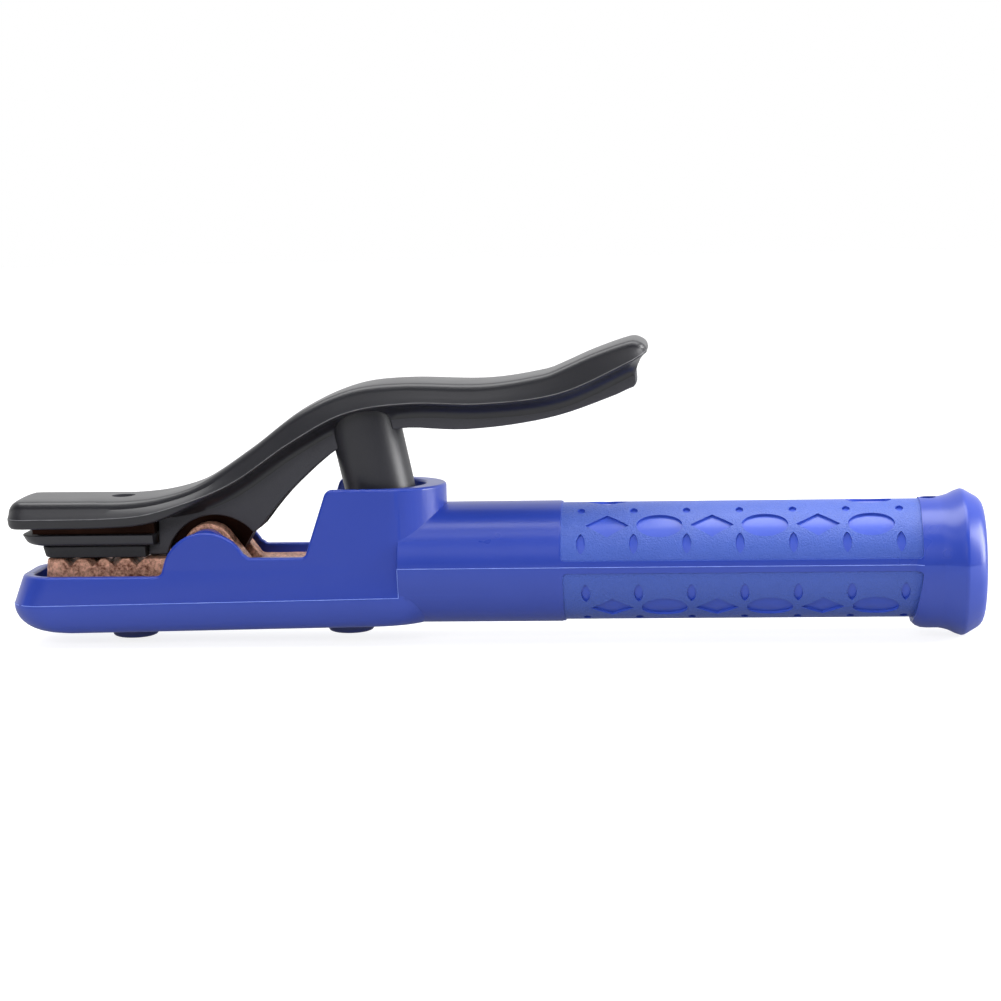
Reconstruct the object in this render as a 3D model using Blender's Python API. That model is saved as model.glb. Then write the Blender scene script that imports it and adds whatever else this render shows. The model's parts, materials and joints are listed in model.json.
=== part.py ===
"""Electrode holder for stick welding: a sprung lever over a copper jaw, in an insulated handle.

Metres, +Z up. The handle runs along X with its butt at +X and the jaw at -X, the origin is
under the middle of the holder, and z = 0 is the lowest point of the butt flare.
Positions at the jaw end are offsets (along, up) from the deck datum, a point straight under
the hinge at (HINGE_X, DECK_Z). Sizes are named values in metres, written as millimetres * MM.
"""

import math

import bmesh
import bpy
from mathutils import Matrix, Vector

MM = 0.001

# Overall and handle
OVERALL_LENGTH = 249.5 * MM
HANDLE_RADIUS = 15.55 * MM
GRIP_RECESS = 0.5 * MM
COLLAR_LIP = 1.15 * MM
FLARE_LIP = 3.1 * MM
BUTT_DROP = 1.15 * MM
COLLAR_LENGTH = 14.2 * MM
FLARE_LENGTH = 7.4 * MM
GRIP_START = 18.5 * MM
BUTT_FACE_INSET = 3.9 * MM

# Clearances
TOUCH_GAP = 0.3 * MM
PIN_GAP = 0.15 * MM
SLIDE_GAP = 1.0 * MM

# Jaw end of the body
JAW_REACH = 52.75 * MM
BODY_HALF_WIDTH = 14.6 * MM
BODY_WALL = 2.8 * MM
NOSE_CORNER = 9.5 * MM
RIM_UP = -0.8 * MM
WAIST_UP = 3.8 * MM
CUP_UP = 21.0 * MM
EAR_RADIUS = 11.35 * MM
EAR_UP = -0.9 * MM
CUP_FRONT = 26.05 * MM
CUP_CENTRE = 47.1 * MM
CUP_BACK_WALL = 5.3 * MM
CUP_LEAN = math.radians(17.8)
UNDERSIDE_DOWN = 16.3 * MM
UNDERSIDE_SLOPE = 0.0155
FLOOR_THICKNESS = 6.8 * MM
HANDLE_OVERLAP = 2.25 * MM

# Hinge
HINGE_UP = 5.5 * MM
PIN_RADIUS = 3.0 * MM
LUG_RADIUS = 6.6 * MM
ARM_HALF_THICKNESS = 3.4 * MM
KNUCKLE_RADIUS = 6.2 * MM
ARCH_RADIUS = 12.9 * MM

# Copper conductor
JAW_HALF_WIDTH = 8.3 * MM
JAW_FRONT = -43.3 * MM
TOOTH_UP = 3.1 * MM
TOOTH_DEPTH = 2.0 * MM
TOOTH_HALF_WIDTH = 1.9 * MM
BAR_UP = 1.8 * MM
CABLE_BORE_RADIUS = 6.3 * MM
SOCKET_WALL = 3.0 * MM
SOCKET_LENGTH = 39.5 * MM
SOCKET_FLOOR = 4.5 * MM
NECK_HALF_WIDTH = 6.4 * MM

# Spring, its sleeve and its seat
SLEEVE_RADIUS = 9.1 * MM
SLEEVE_WALL = 1.65 * MM
SLEEVE_CAP = 2.4 * MM
SLEEVE_LEAN = math.radians(11.7)
SLEEVE_START = 12.0 * MM
SLEEVE_END = 36.5 * MM
SEAT_HEIGHT = 0.9 * MM
WIRE_RADIUS = 0.85 * MM
SPRING_TURNS = 7.5

# Lever cover
COVER_HALF_WIDTH = 13.0 * MM
COVER_TOP_INSET = 1.6 * MM
COVER_EDGE_RADIUS = 1.6 * MM
SKIRT_HALF_WIDTH = 5.4 * MM
COVER_WALL = 2.2 * MM
ARM_DEPTH = 4.0 * MM
COVER_TAIL = 113.0 * MM
SKIRT_TAIL = 110.2 * MM

# Upper jaw stack
PLATE_UP = 9.7 * MM
PLATE_TOP = 13.9 * MM
PLATE_HALF_WIDTH = 8.9 * MM
PLATE_FRONT = -46.0 * MM
PLATE_BACK = -14.0 * MM
PAD_THICKNESS = 2.9 * MM
PAD_HALF_WIDTH = 8.0 * MM
PAD_FRONT = -44.4 * MM
PAD_BACK = -16.8 * MM
SHROUD_HALF_WIDTH = 10.0 * MM
SHROUD_FRONT = -49.8 * MM
SHROUD_BACK = -14.3 * MM

# Fasteners
FOOT_RADIUS = 6.0 * MM
FOOT_DROP = 2.4 * MM
BODY_SCREW_RADIUS = 2.7 * MM
SCREW_HEAD_RADIUS = 4.0 * MM
COUNTERBORE_RADIUS = 4.6 * MM
WASHER_HEIGHT = 0.8 * MM
FRONT_SCREW_ALONG = -22.0 * MM
REAR_SCREW_ALONG = 35.1 * MM
COVER_SCREW_ALONG = -23.8 * MM
COVER_SCREW_RADIUS = 1.5 * MM
RECESS_RADIUS = 2.9 * MM
RIVET_RADIUS = 1.4 * MM
RIVET_HEAD_RADIUS = 2.5 * MM
POST_SCREW_RADIUS = 2.2 * MM
POST_HEAD_GAP = 1.15 * MM
CABLE_SCREW_RADIUS = 2.9 * MM
LOCK_SCREW_RADIUS = 1.7 * MM
RIVETS = (("pad_rivet_front", -38.0 * MM), ("pad_rivet_rear", -20.5 * MM))
BODY_SCREWS = (("front", FRONT_SCREW_ALONG), ("rear", REAR_SCREW_ALONG))

# Derived places
BUTT_X = OVERALL_LENGTH / 2
HINGE_X = -OVERALL_LENGTH / 2 + JAW_REACH
BUTT_AXIS_Z = HANDLE_RADIUS + FLARE_LIP
HANDLE_AXIS_Z = BUTT_AXIS_Z + BUTT_DROP
DECK_Z = HANDLE_AXIS_Z - 0.3 * MM
HINGE_Z = DECK_Z + HINGE_UP
CHANNEL_HALF_WIDTH = BODY_HALF_WIDTH - BODY_WALL
CUP_RADIUS = BODY_HALF_WIDTH - 0.9 * MM
CHANNEL_BACK = CUP_CENTRE + CUP_RADIUS - CUP_BACK_WALL
SOCKET_START = CHANNEL_BACK + 2 * SLIDE_GAP
HANDLE_START_X = HINGE_X + CUP_CENTRE + HANDLE_OVERLAP
SOCKET_RADIUS = CABLE_BORE_RADIUS + SOCKET_WALL
HANDLE_BORE = SOCKET_RADIUS + SLIDE_GAP
LOCK_X = BUTT_X - COLLAR_LENGTH + 1.2 * MM
BAR_HALF_WIDTH = CHANNEL_HALF_WIDTH - 2.5 * MM
FLOOR_UP = -UNDERSIDE_DOWN + FLOOR_THICKNESS
CONDUCTOR_BOTTOM = FLOOR_UP + TOUCH_GAP
LEDGE_Z = DECK_Z + FLOOR_UP - 1.8 * MM
SEAT_BASE_Z = DECK_Z + BAR_UP + TOUCH_GAP
SLEEVE_BASE = Vector((HINGE_X + CUP_CENTRE, 0, SEAT_BASE_Z + SEAT_HEIGHT + TOUCH_GAP))
SLEEVE_AXIS = Vector((-math.sin(SLEEVE_LEAN), 0, math.cos(SLEEVE_LEAN)))
SHROUD_TOP = PLATE_UP - TOUCH_GAP
PAD_TOP = TOOTH_UP + TOUCH_GAP + PAD_THICKNESS
SHROUD_BOTTOM = PAD_TOP + TOUCH_GAP
COIL_RADIUS = SLEEVE_RADIUS - SLEEVE_WALL - WIRE_RADIUS - 2 * TOUCH_GAP
POST_HEAD_RADIUS = COIL_RADIUS - WIRE_RADIUS - POST_HEAD_GAP

ROUND_STEPS = 40
SMALL_STEPS = 16


def material(name, color, roughness, metallic):
    """A plain Principled material."""
    made = bpy.data.materials.new(name)
    made.use_nodes = True
    shader = made.node_tree.nodes["Principled BSDF"]
    shader.inputs["Base Color"].default_value = (*color, 1)
    shader.inputs["Roughness"].default_value = roughness
    shader.inputs["Metallic"].default_value = metallic
    return made


def add_object(name, mesh_data, finish=None):
    """Link a bmesh as an object; without a finish it is a hidden helper for a Boolean."""
    bmesh.ops.recalc_face_normals(mesh_data, faces=mesh_data.faces)
    mesh = bpy.data.meshes.new(name)
    mesh_data.to_mesh(mesh)
    mesh_data.free()
    made = bpy.data.objects.new(name, mesh)
    bpy.context.scene.collection.objects.link(made)
    if finish is None:
        made.hide_render = True
        made.display_type = "WIRE"
    else:
        mesh.materials.append(finish)
    return made


def place(made, origin, axis):
    """Turn an object's local X axis to the given direction, at the given origin."""
    made.location = origin
    made.rotation_mode = "QUATERNION"
    made.rotation_quaternion = Vector((1, 0, 0)).rotation_difference(Vector(axis))
    return made


def prism(name, outline, half_width, finish=None):
    """Extrude an outline of (x, z) points across Y, to half_width on each side."""
    data = bmesh.new()
    corners = [data.verts.new((x, -half_width, z)) for x, z in outline]
    face = data.faces.new(corners)
    grown = bmesh.ops.extrude_face_region(data, geom=[face])
    moved = [item for item in grown["geom"] if isinstance(item, bmesh.types.BMVert)]
    bmesh.ops.translate(data, verts=moved, vec=(0, 2 * half_width, 0))
    return add_object(name, data, finish)


def turned(name, profile, origin, axis, finish=None, steps=ROUND_STEPS, closed=False):
    """Spin a profile of (along, radius) points round an axis; closed profiles leave a bore."""
    data = bmesh.new()
    points = [data.verts.new((along, 0, radius)) for along, radius in profile]
    edges = [data.edges.new(pair) for pair in zip(points, points[1:])]
    if closed:
        edges.append(data.edges.new((points[-1], points[0])))
    bmesh.ops.spin(
        data, geom=points + edges, axis=(1, 0, 0), cent=(0, 0, 0), angle=math.tau, steps=steps
    )
    bmesh.ops.remove_doubles(data, verts=data.verts, dist=1e-7)
    made = place(add_object(name, data, finish), origin, axis)
    made.data.shade_smooth()
    made.data.set_sharp_from_angle(angle=math.radians(35))
    return made


def rod(name, start, end, radius, origin, axis, finish=None, steps=SMALL_STEPS):
    """A plain round bar from start to end along an axis."""
    profile = [(start, 0), (start, radius), (end, radius), (end, 0)]
    return turned(name, profile, origin, axis, finish, steps)


def ring(name, start, end, inner, outer, origin, axis, finish=None, steps=SMALL_STEPS):
    """A washer or tube from start to end along an axis."""
    profile = [(start, inner), (start, outer), (end, outer), (end, inner)]
    return turned(name, profile, origin, axis, finish, steps, closed=True)


def headed_rod(name, head, shank, origin, axis, finish):
    """A screw or rivet: head and shank are (start, end, radius), meeting end to start."""
    profile = [
        (head[0], 0),
        (head[0], head[2]),
        (head[1], head[2]),
        (head[1], shank[2]),
        (shank[1], shank[2]),
        (shank[1], 0),
    ]
    return turned(name, profile, origin, axis, finish, SMALL_STEPS)


def stack(name, levels, finish=None):
    """Join level outlines, each a list of (x, y, z) points in the same order, into a solid."""
    data = bmesh.new()
    rings = [[data.verts.new(point) for point in level] for level in levels]
    for low, high in zip(rings, rings[1:]):
        for index in range(len(low)):
            after = (index + 1) % len(low)
            data.faces.new((low[index], low[after], high[after], high[index]))
    data.faces.new(rings[0][::-1])
    data.faces.new(rings[-1])
    bmesh.ops.triangulate(data, faces=data.faces)
    return add_object(name, data, finish)


def boolean(target, operation, *others):
    """Add one Boolean modifier for each helper."""
    for other in others:
        modifier = target.modifiers.new(other.name, "BOOLEAN")
        modifier.operation = operation
        modifier.object = other
        modifier.solver = "EXACT"
    return target


def arc(centre, radius, start, end, count):
    """Points on an arc from start to end degrees, ends included."""
    angles = [math.radians(start + (end - start) * i / count) for i in range(count + 1)]
    return [(centre[0] + radius * math.cos(a), centre[1] + radius * math.sin(a)) for a in angles]


def smooth_height(points):
    """A function z(x) that passes smoothly through the (x, z) points."""
    slopes = []
    for index in range(len(points)):
        before = points[max(index - 1, 0)]
        after = points[min(index + 1, len(points) - 1)]
        slopes.append((after[1] - before[1]) / (after[0] - before[0]))

    def height(x):
        for index in range(len(points) - 1):
            (x0, z0), (x1, z1) = points[index], points[index + 1]
            if x <= x1 or index == len(points) - 2:
                span = x1 - x0
                t = min(max((x - x0) / span, 0), 1)
                rise = 2 * t**3 - 3 * t**2
                lead = (t**3 - 2 * t**2 + t) * span * slopes[index]
                trail = (t**3 - t**2) * span * slopes[index + 1]
                return z0 * (1 + rise) - z1 * rise + lead + trail
        return points[-1][1]

    return height


def at_deck(points):
    """Offsets (along, up) from the deck datum as (x, z) places."""
    return [(HINGE_X + along, DECK_Z + up) for along, up in points]


def in_mm(points):
    """A hand-chosen list of millimetre values in metres."""
    return [tuple(value * MM for value in point) for point in points]


def round_plan(front, back, half_width, corner, back_radius, z_of_x):
    """A plan outline with rounded front corners and a half-round back, as (x, y, z) points."""
    quarter = arc((front + corner, half_width - corner), corner, 180, 90, 5)
    rear = arc((back - back_radius, 0), 1, 90, -90, 10)
    rear = [
        (back - back_radius + (x - back + back_radius) * back_radius, y * half_width)
        for x, y in rear
    ]
    outline = quarter + rear + [(x, -y) for x, y in reversed(quarter)]
    return [(x, y, z_of_x(x)) for x, y in outline]


# The top, the parting line and the skirt's lower edge of the lever cover, from the datum.
cover_top = smooth_height(
    in_mm(
        [
            (-48, 18.7),
            (-30, 18.6),
            (-21, 18.6),
            (-11, 19.8),
            (-1.5, 22.9),
            (12, 31.5),
            (25, 40.9),
            (38, 46.4),
            (51, 47.8),
            (72, 47.4),
            (87, 49.5),
            (92, 51.4),
            (98, 54.0),
            (104, 56.2),
            (109, 57.7),
            (113, 58.4),
        ]
    )
)
cover_parting = smooth_height(
    in_mm(
        [
            (-50, 13.7),
            (-20, 14.2),
            (-8.5, 16.6),
            (7, 22.6),
            (22.7, 32.9),
            (36.7, 40.1),
            (52.5, 42.4),
            (72, 42.1),
            (91.3, 44.5),
            (109, 52.2),
            (113, 54.6),
        ]
    )
)
skirt_edge = smooth_height(
    in_mm(
        [
            (11.4, 9.2),
            (13, 10.5),
            (16, 14.3),
            (20, 18.9),
            (24.3, 23.0),
            (30, 27.9),
            (36, 31.8),
            (43, 34.6),
            (52, 35.7),
            (61, 35.2),
            (67, 35.1),
            (79, 36.2),
            (91, 38.5),
            (103.3, 42.7),
            (108, 44.7),
            (110.2, 46.1),
        ]
    )
)


def underside(x):
    """Height of the body's lowest face, which rises a little towards the handle."""
    return DECK_Z - UNDERSIDE_DOWN + UNDERSIDE_SLOPE * (x - HINGE_X + 43 * MM)


def body_block():
    """The drafted, round-edged block that the side outline is later cut from."""
    nose_x = HINGE_X - JAW_REACH + 0.4 * MM
    back_x = HINGE_X + CUP_CENTRE + CUP_RADIUS
    # Each level is its rise above the underside, then how far its sides and its nose step in.
    lower = in_mm([(0.0, 5.6, 8.9), (0.9, 2.9, 4.9), (2.8, 1.0, 2.0), (5.3, 0.2, 0.5), (8.0, 0.0, 0.0)])
    levels = []
    for rise, side, nose in lower:
        half_width = BODY_HALF_WIDTH - side
        z_of_x = lambda x, rise=rise: underside(x) + rise
        levels.append(round_plan(nose_x + nose, back_x - side, half_width, NOSE_CORNER, CUP_RADIUS, z_of_x))
    # Each upper level is its height over the deck datum, then the same two steps.
    for up, side, nose in ((RIM_UP, 0.5 * MM, 3.0 * MM), (CUP_UP + 4 * MM, 1.0 * MM, 6.0 * MM)):
        half_width = BODY_HALF_WIDTH - side
        z_of_x = lambda x, up=up: DECK_Z + up
        levels.append(round_plan(nose_x + nose, back_x, half_width, NOSE_CORNER, CUP_RADIUS, z_of_x))
    return levels


def body_side_outline():
    """Rim, ears, waist and spring cup as seen from the side, closed below the body."""
    front_end = -JAW_REACH - 5 * MM
    back_end = CUP_CENTRE + CUP_RADIUS + 5 * MM
    ear_left = math.degrees(math.asin((RIM_UP + 2.2 * MM - EAR_UP) / EAR_RADIUS))
    ear_right = math.degrees(math.asin((WAIST_UP + 1.0 * MM - EAR_UP) / EAR_RADIUS))
    ear = arc((0, EAR_UP), EAR_RADIUS, 180 - ear_left, ear_right, 18)
    lean = math.tan(CUP_LEAN)
    rise = CUP_UP - WAIST_UP
    points = [
        (front_end, RIM_UP),
        (ear[0][0] - 2.0 * MM, RIM_UP),
        (ear[0][0] - 0.7 * MM, RIM_UP + 0.6 * MM),
    ]
    points += ear
    points += [
        (ear[-1][0] + 1.3 * MM, WAIST_UP),
        (CUP_FRONT - 1.5 * MM, WAIST_UP),
        (CUP_FRONT - 0.2 * MM, WAIST_UP + 0.6 * MM),
        (CUP_FRONT + lean * (rise - 2.6 * MM), CUP_UP - 2.6 * MM),
        (CUP_FRONT + lean * rise - 0.1 * MM, CUP_UP - 0.9 * MM),
        (CUP_FRONT + lean * rise + 1.6 * MM, CUP_UP),
        (back_end, CUP_UP),
        (back_end, -UNDERSIDE_DOWN - 5 * MM),
        (front_end, -UNDERSIDE_DOWN - 5 * MM),
    ]
    return at_deck(points)


def make_body(finish):
    """The one-piece insulated moulding: jaw trough, hinge ears, spring cup and handle."""
    body = stack("insulated_body", body_block(), finish)
    boolean(body, "INTERSECT", prism("keep_side", body_side_outline(), BODY_HALF_WIDTH + 5 * MM))
    grip_end = BUTT_X - COLLAR_LENGTH - 1.5 * MM
    handle_profile = [
        (HANDLE_START_X, 0),
        (HANDLE_START_X, HANDLE_RADIUS),
        (GRIP_START, HANDLE_RADIUS),
        (GRIP_START + GRIP_RECESS, HANDLE_RADIUS - GRIP_RECESS),
        (grip_end, HANDLE_RADIUS - GRIP_RECESS),
        (grip_end, 0),
    ]
    collar = HANDLE_RADIUS + COLLAR_LIP
    flare = HANDLE_RADIUS + FLARE_LIP
    flare_start = BUTT_X - FLARE_LENGTH
    butt_profile = [
        (grip_end - 4 * MM, 0),
        (grip_end - 4 * MM, HANDLE_RADIUS - GRIP_RECESS - BUTT_DROP - 0.3 * MM),
        (grip_end, collar - 0.4 * MM),
        (grip_end + 2 * MM, collar),
        (flare_start - 2 * MM, collar),
        (flare_start, collar + 0.9 * MM),
        (flare_start + 1.5 * MM, flare - 0.1 * MM),
        (flare_start + 2.6 * MM, flare),
        (BUTT_X - 2.1 * MM, collar + 0.3 * MM),
        (BUTT_X - 0.7 * MM, collar - 0.6 * MM),
        (BUTT_X, flare - BUTT_FACE_INSET),
        (BUTT_X, 0),
    ]
    along = (1, 0, 0)
    handle = turned("add_handle", handle_profile, (0, 0, HANDLE_AXIS_Z), along)
    butt = turned("add_butt", butt_profile, (0, 0, BUTT_AXIS_Z), along)
    boolean(body, "UNION", handle, butt)

    channel = [
        round_plan(
            HINGE_X - JAW_REACH + 6.0 * MM,
            HINGE_X + CHANNEL_BACK,
            CHANNEL_HALF_WIDTH,
            7 * MM,
            CHANNEL_HALF_WIDTH,
            lambda x, up=up: DECK_Z + up,
        )
        for up in (FLOOR_UP, CUP_UP + 10 * MM)
    ]
    bore_profile = [
        (HINGE_X + CUP_CENTRE, 0),
        (HINGE_X + CUP_CENTRE, HANDLE_BORE),
        (BUTT_X - 1.0 * MM, HANDLE_BORE),
        (BUTT_X + 1.0 * MM, HANDLE_BORE + 2.0 * MM),
        (BUTT_X + 1.0 * MM, 0),
    ]
    cuts = [
        stack("cut_channel", channel),
        turned("cut_bore", bore_profile, (0, 0, HANDLE_AXIS_Z), along),
    ]
    for place_name, offset in BODY_SCREWS:
        origin = (HINGE_X + offset, 0, 0)
        hole = BODY_SCREW_RADIUS + TOUCH_GAP
        below = -5 * MM
        top = DECK_Z + FLOOR_UP + 2 * MM
        cuts.append(rod(f"cut_{place_name}_head", below, LEDGE_Z, COUNTERBORE_RADIUS, origin, (0, 0, 1)))
        cuts.append(rod(f"cut_{place_name}_hole", below, top, hole, origin, (0, 0, 1)))
    lock_origin = (LOCK_X, 0, HANDLE_AXIS_Z)
    lock_hole = LOCK_SCREW_RADIUS + TOUCH_GAP
    cuts.append(rod("cut_lock", HANDLE_BORE - 2 * MM, 25 * MM, lock_hole, lock_origin, (0, 0, 1)))
    boolean(body, "DIFFERENCE", *cuts)

    inner = BAR_HALF_WIDTH + TOUCH_GAP
    outer = CHANNEL_HALF_WIDTH + 0.6 * MM
    for side in (-1, 1):
        boss = rod(
            f"add_ear_boss_{'left' if side < 0 else 'right'}",
            inner,
            outer,
            HINGE_UP - 0.1 * MM,
            (HINGE_X, 0, HINGE_Z),
            (0, side, 0),
            steps=24,
        )
        boolean(body, "UNION", boss)
    return body


def make_conductor(finish):
    """The copper casting: toothed lower jaw, hinge lugs, bar under the spring and cable socket."""
    jaw_back = -5 * MM
    back_reach = math.sqrt(CHANNEL_HALF_WIDTH**2 - BAR_HALF_WIDTH**2)
    bar_end = CHANNEL_BACK - CHANNEL_HALF_WIDTH + back_reach - SLIDE_GAP
    low = CONDUCTOR_BOTTOM
    bar = [(-11 * MM, low), (bar_end, low), (bar_end, BAR_UP), (-11 * MM, BAR_UP)]
    jaw = [
        (JAW_FRONT + 1.5 * MM, low),
        (jaw_back, low),
        (jaw_back, TOOTH_UP),
        (JAW_FRONT + 0.5 * MM, TOOTH_UP),
        (JAW_FRONT, TOOTH_UP - 0.6 * MM),
        (JAW_FRONT, low + 2 * MM),
    ]
    lug_flank = [(-11 * MM, BAR_UP - 3 * MM), (10.9 * MM, BAR_UP - 3 * MM), (10.9 * MM, BAR_UP)]
    lug = lug_flank + arc((0, HINGE_UP), LUG_RADIUS, 38, 150, 12) + [(-11 * MM, BAR_UP + 1 * MM)]
    conductor = prism("conductor", at_deck(bar), BAR_HALF_WIDTH, finish)
    neck_start = bar_end - 4 * MM
    neck_end = SOCKET_START + 3 * MM
    neck_low = -NECK_HALF_WIDTH
    neck = [(neck_start, neck_low), (neck_end, neck_low), (neck_end, BAR_UP), (neck_start, BAR_UP)]
    socket_end = SOCKET_START + SOCKET_LENGTH
    socket_origin = (HINGE_X, 0, HANDLE_AXIS_Z)
    socket_reach = (SOCKET_START, socket_end, SOCKET_RADIUS)
    along_x = (1, 0, 0)
    boolean(
        conductor,
        "UNION",
        prism("add_jaw", at_deck(jaw), JAW_HALF_WIDTH),
        prism("add_lugs", at_deck(lug), BAR_HALF_WIDTH),
        prism("add_neck", at_deck(neck), NECK_HALF_WIDTH),
        rod("add_socket", *socket_reach, socket_origin, along_x, steps=ROUND_STEPS),
    )
    bore_start = SOCKET_START + SOCKET_FLOOR
    bore_end = socket_end + 2 * MM
    pocket = [
        (-14.5 * MM, PLATE_UP),
        (-7.0 * MM, HINGE_UP - 2.5 * MM),
        (-4.5 * MM, HINGE_UP - 6.0 * MM),
        (0, HINGE_UP - KNUCKLE_RADIUS - 0.7 * MM),
        (6.0 * MM, HINGE_UP - 6.0 * MM),
        (11.6 * MM, BAR_UP - 0.6 * MM),
        (11.6 * MM, 20 * MM),
        (-14.5 * MM, 20 * MM),
    ]
    cuts = [
        rod("cut_cable_bore", bore_start, bore_end, CABLE_BORE_RADIUS, socket_origin, along_x, steps=28),
        prism("cut_knuckle", at_deck(pocket), ARM_HALF_THICKNESS + TOUCH_GAP),
        rod(
            "cut_pin_hole",
            -BODY_HALF_WIDTH,
            BODY_HALF_WIDTH,
            PIN_RADIUS + PIN_GAP,
            (HINGE_X, 0, HINGE_Z),
            (0, 1, 0),
            steps=24,
        ),
    ]
    for place_name, offset in BODY_SCREWS:
        origin = (HINGE_X + offset, 0, DECK_Z + CONDUCTOR_BOTTOM)
        hole = BODY_SCREW_RADIUS + TOUCH_GAP
        cuts.append(rod(f"cut_{place_name}_thread", -2 * MM, 6.5 * MM, hole, origin, (0, 0, 1)))
    for place_name, x in cable_screw_places():
        hole = CABLE_SCREW_RADIUS + TOUCH_GAP
        origin = (x, 0, HANDLE_AXIS_Z)
        cuts.append(rod(f"cut_{place_name}", 0, SOCKET_RADIUS + 2 * MM, hole, origin, (0, 0, 1)))
    boolean(conductor, "DIFFERENCE", *cuts)
    boolean(conductor, "DIFFERENCE", *tooth_cutters())
    return conductor


def tooth_cutters():
    """V grooves across the jaw: two straight ones, and two that cross between them."""
    grooves = (("front", -36.6, 0), ("cross_a", -27.8, 19.5), ("cross_b", -27.8, -19.5), ("back", -19.2, 0))
    cutters = []
    for groove_name, along, turn in grooves:
        half = TOOTH_HALF_WIDTH * 1.25
        depth = TOOTH_DEPTH * 1.25
        outline = [(-half, depth - TOOTH_DEPTH), (0, -TOOTH_DEPTH), (half, depth - TOOTH_DEPTH)]
        cutter = prism(f"cut_groove_{groove_name}", outline, JAW_HALF_WIDTH * 1.4)
        cutter.location = (HINGE_X + along * MM, 0, DECK_Z + TOOTH_UP)
        cutter.rotation_euler = (0, 0, math.radians(turn))
        cutters.append(cutter)
    return cutters


def cable_screw_places():
    """Where the two cable screws stand along the socket."""
    start = HINGE_X + SOCKET_START
    return (
        ("cable_screw_front", start + 0.36 * SOCKET_LENGTH),
        ("cable_screw_rear", start + 0.74 * SOCKET_LENGTH),
    )


def section(x, half_width, top, parting, bottom):
    """One cross-section of the mushroom-shaped lever cover."""
    shoulder = max(half_width - COVER_TOP_INSET, 0.3 * half_width)
    edge = min(COVER_EDGE_RADIUS, 0.4 * shoulder)
    right = [
        (0, top),
        (shoulder - edge, top - 0.15 * MM),
        (shoulder - 0.3 * edge, top - 0.15 * MM - 0.35 * edge),
        (shoulder, top - 0.15 * MM - edge),
        (half_width, parting),
        (half_width - 0.08 * (parting - bottom) - 0.5 * MM, bottom + 0.3 * MM),
        (max(half_width - 1.5 * MM, 0.5 * half_width), bottom),
    ]
    left = [(-y, z) for y, z in reversed(right[1:])]
    return [(x, y, z) for y, z in right + left]


def cover_sections():
    """Cross-sections from the rounded nose to the rounded tail of the lever cover."""
    nose = -JAW_REACH
    tail = COVER_TAIL
    nose_length = 8.5 * MM
    tail_length = 5 * MM
    nose_angles = [math.radians(a) for a in (4, 14, 26, 40, 55, 72, 90)]
    places = [nose + nose_length * (1 - math.cos(a)) for a in nose_angles]
    middle_count = 30
    start = places[-1]
    end = tail - tail_length
    places += [start + (end - start) * i / middle_count for i in range(1, middle_count + 1)]
    places += [end + tail_length * math.sin(math.radians(a)) for a in (20, 40, 58, 75, 86)]
    sections = []
    for along in places:
        into_nose = min(max((along - nose) / nose_length, 0), 1)
        into_tail = min(max((tail - along) / tail_length, 0), 1)
        round_nose = math.sqrt(1 - (1 - into_nose) ** 2)
        round_tail = math.sqrt(1 - (1 - into_tail) ** 2)
        fullness = (0.42 + 0.58 * round_nose) * (0.55 + 0.45 * round_tail)
        half_width = COVER_HALF_WIDTH * fullness
        parting = cover_parting(along)
        top = parting + (cover_top(along) - parting) * round_nose**0.6 * (0.25 + 0.75 * round_tail)
        lip = 2.7 * MM if along < -15 * MM else max(1.2, 2.7 - 0.06 * (along / MM + 15)) * MM
        bottom = parting - lip * round_nose**0.7
        heights = (DECK_Z + top, DECK_Z + parting, DECK_Z + bottom)
        sections.append(section(HINGE_X + along, half_width, *heights))
    return sections


def arm_outline():
    """Side view of the copper arm: jaw plate, neck, hinge knuckle and the arm in the cover."""
    plate_back = -13.0 * MM
    knuckle = arc((0, HINGE_UP), KNUCKLE_RADIUS, 205, 330, 12)
    points = [(PLATE_FRONT, PLATE_TOP), (PLATE_FRONT, PLATE_UP), (plate_back, PLATE_UP)]
    points += knuckle
    points += in_mm([(8.2, 4.9), (10.6, 8.9), (14.5, 19), (21, 30.5)])
    for along in (29.5, 33, 37, 42, 47, 50):
        points.append((along * MM, cover_top(along * MM) - COVER_WALL - ARM_DEPTH))
    for along in (50, 44, 38, 30, 24, 17, 10, 4, -2, -8, -13):
        points.append((along * MM, cover_top(along * MM) - COVER_WALL))
    points.append((-14 * MM, PLATE_TOP))
    return points


def arm_slot_outline():
    """The slot under the cover that the arm is pushed into: open below."""
    points = [(-14.5 * MM, 0), (50 * MM + TOUCH_GAP, 0)]
    for along in (50.3, 44, 38, 30, 24, 17, 10, 4, -2, -8, -13.5):
        points.append((along * MM, cover_top(along * MM) - COVER_WALL + TOUCH_GAP))
    points.append((-14.5 * MM, PLATE_TOP + TOUCH_GAP))
    return points


def skirt_outline():
    """Side view of the skirt below the lever cover, from the jaw to the tail."""
    front = PLATE_BACK + TOUCH_GAP
    leg_bottom = TOOTH_UP + 2 * TOUCH_GAP
    lower = [(front, leg_bottom), (-10 * MM, leg_bottom), (0, 9 * MM)]
    steps = [11.4, 13, 16, 18, 20, 24.3, 28, 32, 37, 43, 48, 52, 57, 61, 67, 73, 79, 85, 91, 97, 103, 108]
    lower += [(along * MM, skirt_edge(along * MM)) for along in steps]
    tail_up = skirt_edge(SKIRT_TAIL)
    tail = [(SKIRT_TAIL, tail_up), (SKIRT_TAIL + 0.4 * MM, tail_up + 1.2 * MM)]
    upper = []
    for along in (110.2, 103, 97, 91, 85, 79, 72, 60, 48, 40, 32, 24, 16, 8, 0, -8):
        upper.append((along * MM, cover_parting(along * MM) + 0.4 * MM))
    upper.append((front, cover_parting(front) + 0.4 * MM))
    return lower + tail + upper


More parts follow.
